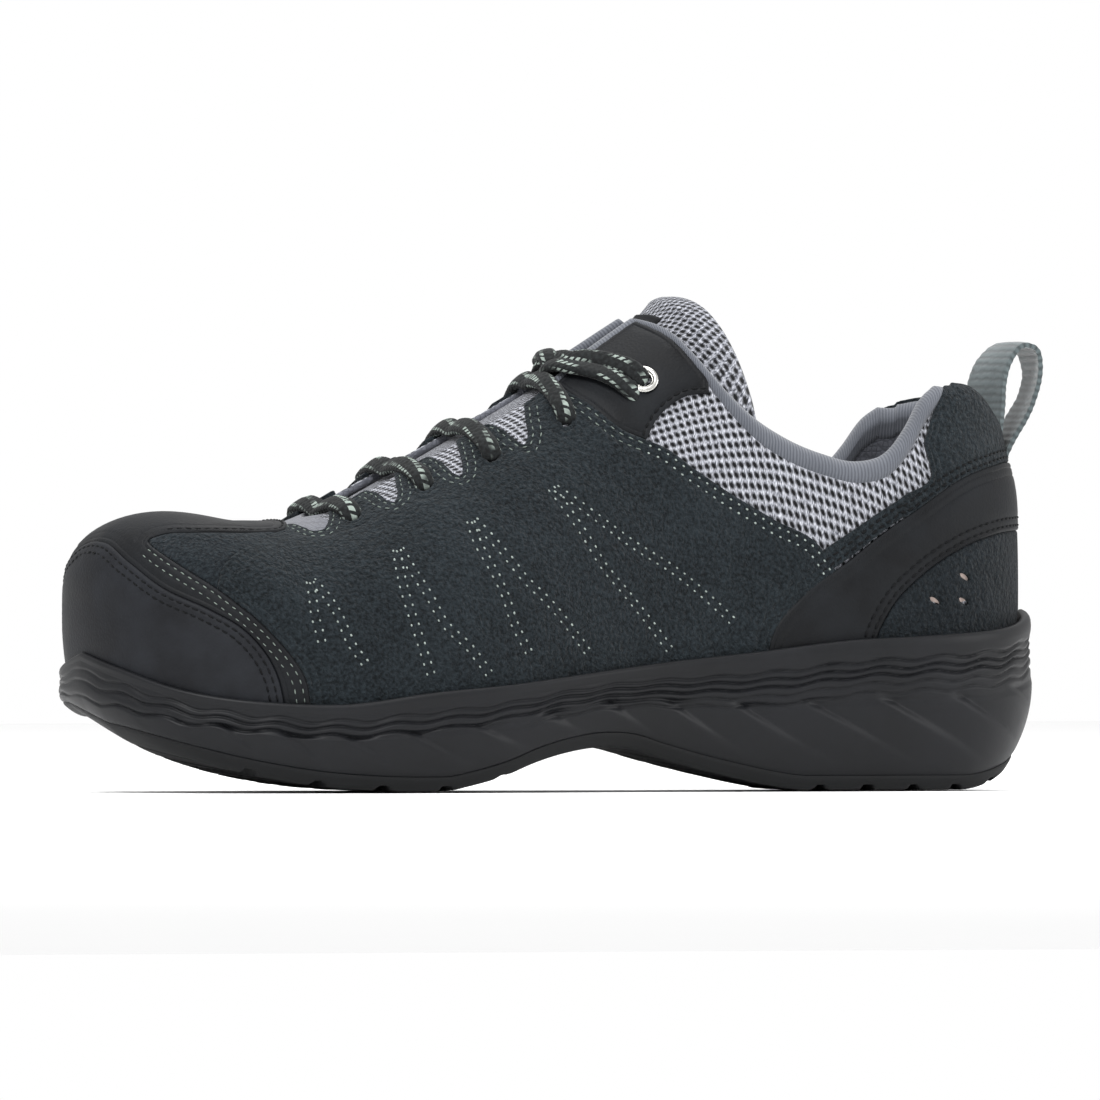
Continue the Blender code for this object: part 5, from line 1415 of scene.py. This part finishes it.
both("vamp", outer_vamp, vamp_suede, "suede", high=1.35, relief=vamp_relief)
lace_holes = [hole_at(a, u, 4.4) for a, u in HOLES[:4]]
both("quarter", outer_quarter, quarter_suede, "suede", high=1.6, roll=1.0, grooves=(1.5, 3.8),
     holes=lace_holes, relief=quarter_relief)
both("eyestay", outer_eyestay, strap_leather, "black_leather", high=1.45, roll=1.0, grooves=(1.5,),
     holes=[hole_at(*HOLES[4], 5.4)])

# %% The heel's three panels
heel_low = np.r_[seam([(0.735, 0.184), (0.760, 0.211), (0.812, 0.279)]), seam(STRAP_SEAM[4:])[1:]]
heel_rim = over_edge(0.848, 1.0, 60, 4.3)
heel_rim[:, 1] -= np.interp(heel_rim[:, 0], [0.848, 0.872], [0.045, 0.0])
heel_top = np.r_[seam(HEEL_MESH_SEAM), wanted([(0.838, 0.405), heel_rim[0]])[1:], heel_rim[1:]]
corner = wanted([(0.735, 0.222), (0.735, 0.184)])
panel("heel_collar_suede", [over_heel(heel_low), mirror(corner), over_heel(heel_top)[::-1], corner],
      quarter_suede, "suede", ["heel_collar"], high=1.5, grooves=(1.4, 3.4))
strap_edges = [wanted([(0.680, 0.03), (0.783, 0.03)]), over_heel(seam(PATCH_SEAM)),
               wanted([(1.217, 0.03), (1.320, 0.03)]), over_heel(seam(STRAP_SEAM))[::-1]]
panel("heel_strap_leather", strap_edges, strap_leather, "black_leather", ["heel_strap"], high=1.8,
      roll=1.1, grooves=(1.6, 3.8))
SLOTS = ((0.843, 0.153), (0.873, 0.193), (0.872, 0.153))
DENTS = ((0.908, 0.187), (0.842, 0.187))
slots = [hole_at(a, u, 3.9, 1.7, -0.45, 20) for a, u in SLOTS]
slots += [mirror(slot) for slot in slots]


def patch_relief(shares, depth):
    """The patch's pressed line, which runs under its slots."""
    share = mirrored(shares[:, 0])
    middle = np.interp(share, [0.815, 0.85, 0.90, 0.95, 1.0], [0.150, 0.118, 0.112, 0.122, 0.125])
    line = 0.5 * np.exp(-(((shares[:, 1] - middle) * 105 / 0.55) ** 2)) * (share > 0.812)
    for around, up in DENTS:
        line += 0.6 * np.exp(-(((share - around) * 345 / 1.9) ** 2) - ((shares[:, 1] - up) * 105 / 0.9) ** 2)
    return -line


panel("heel_patch_suede", [floor_line(0.783, 1.217), over_heel(seam(PATCH_SEAM))[::-1]], patch_suede,
      "suede", ["heel_patch"], high=1.35, holes=slots, relief=patch_relief, spacing=1.6)
backing = [hole_at(0.868, 0.182, 26, 11, 0.2), hole_at(1.132, 0.182, 26, 11, -0.2)]
for name, loop in zip(("slot_backing_outer", "slot_backing_inner"), backing):
    loop = np.r_[loop, loop[:1]]
    panel(name, [loop[:15], loop[14:]], slot_cloth, "suede", (), low=0.02, high=0.10, roll=0.3)

# %% [markdown]
# ## The rows of stitches
# Rows are insets of the seams. Thread is pale on the band, round the notches and on the fans, and
# black on the toe cap, at the eyestay's back and at the heel, as in the photograph.

# %% Stitch rows


def rows_along(line, insets, offset, both_sides=True):
    """Rows beside a seam of the outer side, inside by each inset, and their images."""
    rows = [(inset(line, by), offset) for by in insets]
    if both_sides:
        rows += [(mirror(row), off) for row, off in rows]
    return rows


def upto(line, first, last_part):
    """The middle stretch of a line, between two parts of its length."""
    count = len(line)
    return line[int(first * count) : int(last_part * count)]


dark = rows_along(over_toe(cap_line), (-1.7, -3.9), 2.05, False)
dark += rows_along(strip_line[8:], (1.3,), 1.75)
dark += rows_along(over_heel(seam(PATCH_SEAM)), (1.6, 3.8), 1.6, False)
dark += rows_along(over_heel(heel_low), (1.4, 3.4), 1.35, False)
dark += rows_along(seam(EYESTAY_BACK), (1.5,), 1.3)
stitches("stitches_dark", dark, dark_thread, gap=0.6, width=0.75, height=0.7, seed=3)
pale = rows_along(upto(band_line, 0.10, 1), (1.6, 3.9), 1.7)
for line in notches:
    pale += rows_along(upto(line, 0.06, 0.95), (-1.5, -3.8), 1.42)
pale += rows_along(seam(EYESTAY_SEAM[2:]), (-1.5, -3.8), 1.42)
stitches("stitches_pale", pale, pale_thread, length=1.5, gap=1.2, width=0.38, height=0.4, seed=5)
dots = rows_along(seam(MESH_SEAM), (-1.5, -3.8), 1.42)
for line in fan_lines:
    dots += rows_along(upto(line, 0.03, 1), (-1.1, 1.1), 1.28)
stitches("stitches_dots", dots, dot_thread, length=0.85, gap=2.0, width=0.62, height=0.5, seed=7)

# %% [markdown]
# ## Laces
# The lace is a chunky oval braid, held all the way: it comes up out of a hole, bends over the edge of
# the quarter, crosses the tongue and goes down on the other side. It is swept along that path in
# code, because its yarns need a mesh of their own: two sets of low ridges that spiral opposite ways.

# %% A braided lace
LACE_WIDE, LACE_THICK, BRAID_CELL, LACE_SIDES = 5.8, 3.1, 1.15, 28


def smooth_path(points, spacing=0.45):
    """A smooth path through points, sampled evenly."""
    points = np.array(points, float)
    s = run_along(points)
    slope = np.gradient(points, s, axis=0)
    at = np.linspace(0, s[-1], max(8, int(s[-1] / spacing / MM)))
    i = np.clip(np.searchsorted(s, at, side="right") - 1, 0, len(s) - 2)
    step = (s[i + 1] - s[i])[:, None]
    t = ((at - s[i]) / (s[i + 1] - s[i]))[:, None]
    return hermite(t, step, points[i], slope[i], points[i + 1], slope[i + 1])


def power(value, exponent):
    return np.abs(value) ** exponent * np.sign(value)


def lace(name, keys, outs, replaces=(), roll=0.0):
    """A braided lace along key points, flat side up along the ways out at those keys."""
    path = smooth_path(keys)
    s, key_at = run_along(path), run_along(np.array(keys))
    print(name, "is", round(s[-1] / MM, 1), "mm long")
    out = np.stack([np.interp(s / s[-1], key_at / key_at[-1], np.array(outs)[:, k]) for k in range(3)], -1)
    way = unit(np.gradient(path, axis=0))
    side = unit(np.cross(way, out))
    rise = np.cross(side, way)
    twist = roll * np.sin(s / s[-1] * math.pi)[:, None]
    side, rise = side * np.cos(twist) + rise * np.sin(twist), rise * np.cos(twist) - side * np.sin(twist)
    turns = np.arange(LACE_SIDES) * 2 * math.pi / LACE_SIDES
    run = s / MM / BRAID_CELL
    round_cells = turns / (2 * math.pi) * 12
    left = np.sin(math.pi * (run[:, None] + round_cells))
    right = np.sin(math.pi * (run[:, None] - round_cells))
    relief = 0.17 * np.maximum(left, right) - 0.08
    ends = np.clip(np.minimum(s, s[-1] - s) / MM / 1.5, 0.25, 1)[:, None] ** 0.5
    across = (LACE_WIDE / 2 + relief) * power(np.cos(turns), 0.8) * ends
    over = (LACE_THICK / 2 + relief) * power(np.sin(turns), 0.8) * ends
    points = path[:, None] + (across[..., None] * side[:, None] + over[..., None] * rise[:, None]) * MM
    faces = tube_faces(len(path), LACE_SIDES)
    pattern = np.stack(np.broadcast_arrays(run[:, None], round_cells[None, :]), -1).reshape(-1, 2)
    points = points.reshape(-1, 3)
    return new_piece(name, points, faces, lace_braid, replaces, pattern, sharp=180)


def lace_key(around, up, offset):
    """A key point of the lace and the way out there."""
    return place(around, up, offset), normals(around, up)


def lace_over(hole, middle, crest=-0.2, low=2.9, edge=2.1, dive=-1.0):
    """Keys from a hole of the outer side over the ridge to the same hole of the inner side."""
    around, up = hole
    lip = float(top(around)) - 0.02
    halves = [[], []]
    for half, shown in ((halves[0], lambda share: share), (halves[1], lambda share: 2 - share)):
        heights = (dive, 1.6, low, low, edge + 0.2, edge)
        for t, height in zip((0.0, 0.04, 0.16, 0.45, 0.80, 1.0), heights):
            share = around + 0.5 * t * (middle - around)
            half.append(lace_key(shown(share), up + t * (lip - up), height))
        for t in (0.35, 0.7):
            share = around + (0.5 + 0.5 * t) * (middle - around)
            half.append(lace_key(shown(share), lip + t * (1 - lip), edge + t * (crest - edge)))
    path = halves[0] + [lace_key(middle, 1.0, crest)] + halves[1][::-1]
    return [k[0] for k in path], [k[1] for k in path]


for number, hole in enumerate(HOLES[:4], 1):
    keys, outs = lace_over(hole, hole[0] - 0.006)
    lace(f"lace_row_{number}", keys, outs, [f"lace_bar_{number}"], roll=0.25)

# %% The crossing above the rows
CROSS_MIDDLE, CROSS_FOOT, CREST = 0.521, 0.514, 1.9
for name, flip in (("lace_cross_one", 0), ("lace_cross_two", 1)):
    around, up = HOLES[4]
    lip = float(top(0.53)) - 0.03
    keys = [lace_key(around + t * (0.529 - around), up + t * (lip - up), h)
            for t, h in ((0.0, -1.0), (0.03, 1.3), (0.13, 3.0), (0.5, 3.0), (0.85, 3.0), (1.0, 2.8))]
    lift = 1.8 if flip else 0.0
    keys.append(lace_key(0.525, (lip + 1) / 2, CREST + 0.2 + 0.6 * lift))
    keys.append(lace_key(CROSS_MIDDLE, 1.0, CREST + lift))
    for t, h in ((0.3, 0.3 + 0.5 * lift), (0.6, -0.6), (1.0, -3.6)):
        keys.append(lace_key(2 - CROSS_MIDDLE + t * (CROSS_MIDDLE - CROSS_FOOT), 1 - t * 0.15, CREST + h))
    points, outs = np.array([k[0] for k in keys]), np.array([k[1] for k in keys])
    if flip:
        station = points[:, 0] / MM / LENGTH + HEEL_CENTRE / LENGTH
        points[:, 1] = 2 * curve(RIDGE, 2, station) * WIDTH * MM - points[:, 1]
        outs[:, 1] *= -1
    lace(name, points, outs, [] if flip else ["lace_cross"], roll=0.35)

steps = (
    # share around, up and millimetres off the last, from the eyelet
    (0.570, 0.618, -0.6), (0.566, 0.628, 1.8), (0.556, 0.672, 3.2), (0.540, 0.745, 3.3),
    (0.526, 0.812, 3.3), (0.519, 0.865, 3.2), (0.513, 0.915, 2.4), (0.508, 0.955, 0.4),
)
keys = [lace_key(*step) for step in steps]
lace("lace_cross_three", [k[0] for k in keys], [k[1] for k in keys], roll=-0.3)

# %% [markdown]
# ## Eyelets
# A nickel eyelet is a tube that is pushed through the leather and rolled over at both ends. A torus
# gives the rolled flange, flattened a little, and the barrel is a ring of faces extruded down.

# %% Rolled eyelets
EYELET_RADIUS, BARREL_RADIUS = 3.6, 2.62


def eyelet(name, around, up, replaces):
    out = Vector(normals(around, up))
    at = Vector(place(around, up, 1.75))
    bpy.ops.object.select_all(action="DESELECT")
    bpy.ops.mesh.primitive_torus_add(
        major_segments=56, minor_segments=18, major_radius=EYELET_RADIUS * MM, minor_radius=0.78 * MM
    )
    ring = bpy.context.object
    ring.name = name
    ring.data.name = name
    bpy.ops.object.mode_set(mode="EDIT")
    bpy.ops.mesh.select_all(action="SELECT")
    bpy.ops.transform.resize(value=(1, 1, 0.62))
    bpy.ops.mesh.select_all(action="DESELECT")
    bpy.ops.object.mode_set(mode="OBJECT")
    ring.rotation_euler = out.to_track_quat("Z", "Y").to_euler()
    ring.location = at
    bpy.ops.object.transform_apply(location=True, rotation=True, scale=True)
    bpy.ops.object.select_all(action="DESELECT")
    bpy.ops.mesh.primitive_cylinder_add(
        vertices=56, radius=BARREL_RADIUS * MM, depth=5 * MM, end_fill_type="NOTHING"
    )
    barrel = bpy.context.object
    barrel.rotation_euler = out.to_track_quat("Z", "Y").to_euler()
    barrel.location = at - out * 2.4 * MM
    bpy.ops.object.transform_apply(location=True, rotation=True, scale=True)
    wall = barrel.modifiers.new("barrel wall", "SOLIDIFY")
    wall.thickness = 0.35 * MM
    wall.offset = 0
    bpy.ops.object.modifier_apply(modifier=wall.name)
    ring.select_set(True)
    bpy.context.view_layer.objects.active = ring
    bpy.ops.object.join()
    bpy.ops.object.shade_smooth()
    ring.data.materials.clear()
    ring.data.materials.append(eyelet_steel)
    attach(ring, "root")
    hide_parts(replaces)
    print(name, "has", len(ring.data.polygons), "faces")


eyelet("eyelet_ring_outer", HOLES[4][0], HOLES[4][1], "eyelet_outer")
eyelet("eyelet_ring_inner", 2 - HOLES[4][0], HOLES[4][1], "eyelet_inner")

# %% [markdown]
# ## Insole
# The insole is a thick felt-covered foam sheet with a soft edge, lying on the floor of the sole.

# %% A felt insole
foot = last(ROUND, np.zeros(len(ROUND)))
foot_out = normals(ROUND, np.zeros(len(ROUND)))
foot_out[:, 2] = 0
foot_out = unit(foot_out)
level = curve(FLOOR, 1, foot[:, 0] / LENGTH) * WALL + 2 * GAP
rings = []
for height, press in ((0.0, 0.9), (0.5, 0.2), (3.2, 0.0), (4.1, 0.35), (4.5, 1.1), (4.62, 2.4), (4.55, 6.0)):
    flat = foot - foot_out * (UPPER_WALL + 2 * GAP + press)
    rings.append(np.c_[flat[:, 0] - HEEL_CENTRE, flat[:, 1], level + height] * MM)
faces = grid_faces(len(rings), len(ROUND), around=True)
faces += across_caps(len(ROUND), 0, True) + across_caps(len(ROUND), (len(rings) - 1) * len(ROUND))
new_piece("insole_sheet", np.concatenate(rings), faces, insole_felt, ["insole"])

# %% [markdown]
# ## Pull loop
# A loop of woven tape stands over the heel. Its weft makes ribs across it, its two edges are a little
# thicker, and both ends go down between the collar and its lining.

# %% A woven loop
LOOP_WIDE, LOOP_THICK, RIB_PITCH = 19.0, 1.4, 2.2
LOOP = (
    # place from the toe tip, height and the tape's turn about the upright, in mm and degrees
    (283.6, 98.5, 8), (284.6, 104.5, 10), (285.1, 112.0, 12), (285.6, 119.0, 12), (287.9, 125.0, 9),
    (292.8, 129.4, 3), (297.6, 128.4, -3), (299.6, 122.5, -7), (298.2, 115.0, -7), (294.6, 108.0, -3),
    (290.8, 102.0, 0), (288.3, 96.5, 0),
)
path = smooth_path([np.array([x - HEEL_CENTRE, 0, z]) * MM for x, z, _ in LOOP], 0.28)
s = run_along(path) / MM
print("the tape stands out", round(s[-1], 1), "mm along its middle")
at_keys = np.linspace(0, s[-1], len(LOOP))
turned = np.radians(np.interp(s, at_keys, [t for _, _, t in LOOP]))
across_tape = np.stack([-np.sin(turned), np.cos(turned), 0 * s], -1)
way = unit(np.gradient(path, axis=0))
out = unit(np.cross(way, across_tape))
ribs = 0.07 * np.sin(2 * math.pi * s / RIB_PITCH)
edges = np.linspace(-1, 1, 25)
curl = 0.8 * np.sin(s / s[-1] * math.pi)
rings = []
for face in (1, -1):
    for across in edges[::face]:
        thick = LOOP_THICK / 2 * (1 + 0.18 * abs(across) ** 8) * min(1, (1.04 - abs(across)) / 0.06) ** 0.5
        rise = face * (thick + ribs) + curl * (1 - across**2) * 0.5
        tuck = LOOP_WIDE / 2 * (1 - 0.25 * np.clip(1 - (s[-1] - s) / 16, 0, 1))
        rings.append(path + out * (rise * MM)[:, None] + across_tape * (across * tuck * MM)[:, None])
points = np.stack(rings, 1).reshape(-1, 3)
faces = tube_faces(len(path), len(rings))
both_edges = np.r_[edges, edges[::-1]][None, :] * 10
pattern = np.stack(np.broadcast_arrays(s[:, None], both_edges), -1).reshape(-1, 2)
new_piece("pull_loop_tape", points, faces, loop_webbing, ["pull_loop"], pattern,
          fit=False)

# %% [markdown]
# ## The tongue's label
# On the real tongue a woven label with text is sewn on. The text is left off, so the place has a bare
# dark patch with a sewn border, a little proud of the knit.

# %% A bare label
LABEL_ROWS, LABEL_COLUMNS, LABEL_HALF = 26, 50, 0.34
ahead = np.linspace(0.825, 0.915, LABEL_ROWS)
aside = np.linspace(-LABEL_HALF, LABEL_HALF, LABEL_COLUMNS)
grid = np.stack(np.meshgrid(ahead, aside, indexing="ij"), -1).reshape(-1, 2)
base = tongue_place(grid[:, 0], grid[:, 1], np.ones(len(grid)))
inner = tongue_place(grid[:, 0], grid[:, 1], np.full(len(grid), 0.9))
way_out = unit(base - inner)
edge_ahead = np.minimum(grid[:, 0] - ahead[0], ahead[-1] - grid[:, 0]) / 0.008
edge_aside = (LABEL_HALF - np.abs(grid[:, 1])) / 0.03
rounded = np.clip(np.minimum(edge_ahead, edge_aside), 0, 1) ** 0.5
border = np.clip(1 - np.abs(np.minimum(edge_ahead, edge_aside) - 1.6) / 0.8, 0, 1)
front = base + way_out * ((0.25 + 0.6 * rounded - 0.2 * border) * MM)[:, None]
behind = base - way_out * 0.4 * MM
faces = slab_faces(LABEL_ROWS, LABEL_COLUMNS)
new_piece("tongue_label", np.r_[front, behind], faces, label_cloth)

# %% [markdown]
# ## Floor, lights and camera
# The photograph is a product shot on white: a long lens nearly level with the shoe, turned a little
# toward the toe, and broad soft light from above. The floor is plain and pale.

# %% Floor
bpy.ops.object.select_all(action="DESELECT")
bpy.ops.mesh.primitive_plane_add(size=6, location=(0, 0, -0.0004))
studio_floor = bpy.context.object
studio_floor.name = "studio_floor"
paper, tree, shader, where = new_finish("pale studio paper", Roughness=0.9)
shade = mixed(tree, noise(tree, where, 300, 2), colour("f4f4f4"), colour("f1f1f1"))
tree.links.new(shade, shader.inputs["Base Color"])
studio_floor.data.materials.append(paper)

# %% Lights
bpy.context.scene.view_settings.view_transform = "Standard"
world = bpy.data.worlds.new("studio")
bpy.context.scene.world = world
world.use_nodes = True
world.node_tree.nodes["Background"].inputs["Color"].default_value = colour("ffffff")
world.node_tree.nodes["Background"].inputs["Strength"].default_value = 1.0


def softbox(name, place_at, aim, size, power):
    lamp = bpy.data.lights.new(name, "AREA")
    lamp.shape = "SQUARE"
    lamp.size = size
    lamp.energy = power
    box = bpy.data.objects.new(name, lamp)
    box.location = place_at
    box.rotation_euler = (Vector(aim) - Vector(place_at)).to_track_quat("-Z", "Y").to_euler()
    bpy.context.scene.collection.objects.link(box)


softbox("key_box", (-0.8, -0.9, 1.3), (-0.1, 0, 0.05), 0.6, 27)
softbox("top_box", (0.1, 0.3, 1.6), (-0.1, 0, 0.05), 1.0, 19)
softbox("side_box", (1.2, -0.7, 0.6), (-0.05, 0, 0.06), 0.7, 9)

# %% Camera
TURN, LENS, SENSOR, FIELD = 20.0, 900.0, 36.0, 0.3195
AIM = Vector((-0.0984, 0.0, 0.0697))
distance = FIELD / (SENSOR / LENS)
turn = math.radians(TURN)
ahead = Vector((math.sin(turn), math.cos(turn), 0.0))
camera_data = bpy.data.cameras.new("camera")
camera_data.lens, camera_data.sensor_width = LENS, SENSOR
camera = bpy.data.objects.new("camera", camera_data)
camera.location = AIM - ahead * distance
camera.rotation_euler = ahead.to_track_quat("-Z", "Y").to_euler()
bpy.context.scene.collection.objects.link(camera)
bpy.context.scene.camera = camera
print("the camera stands", round(distance, 3), "m away")
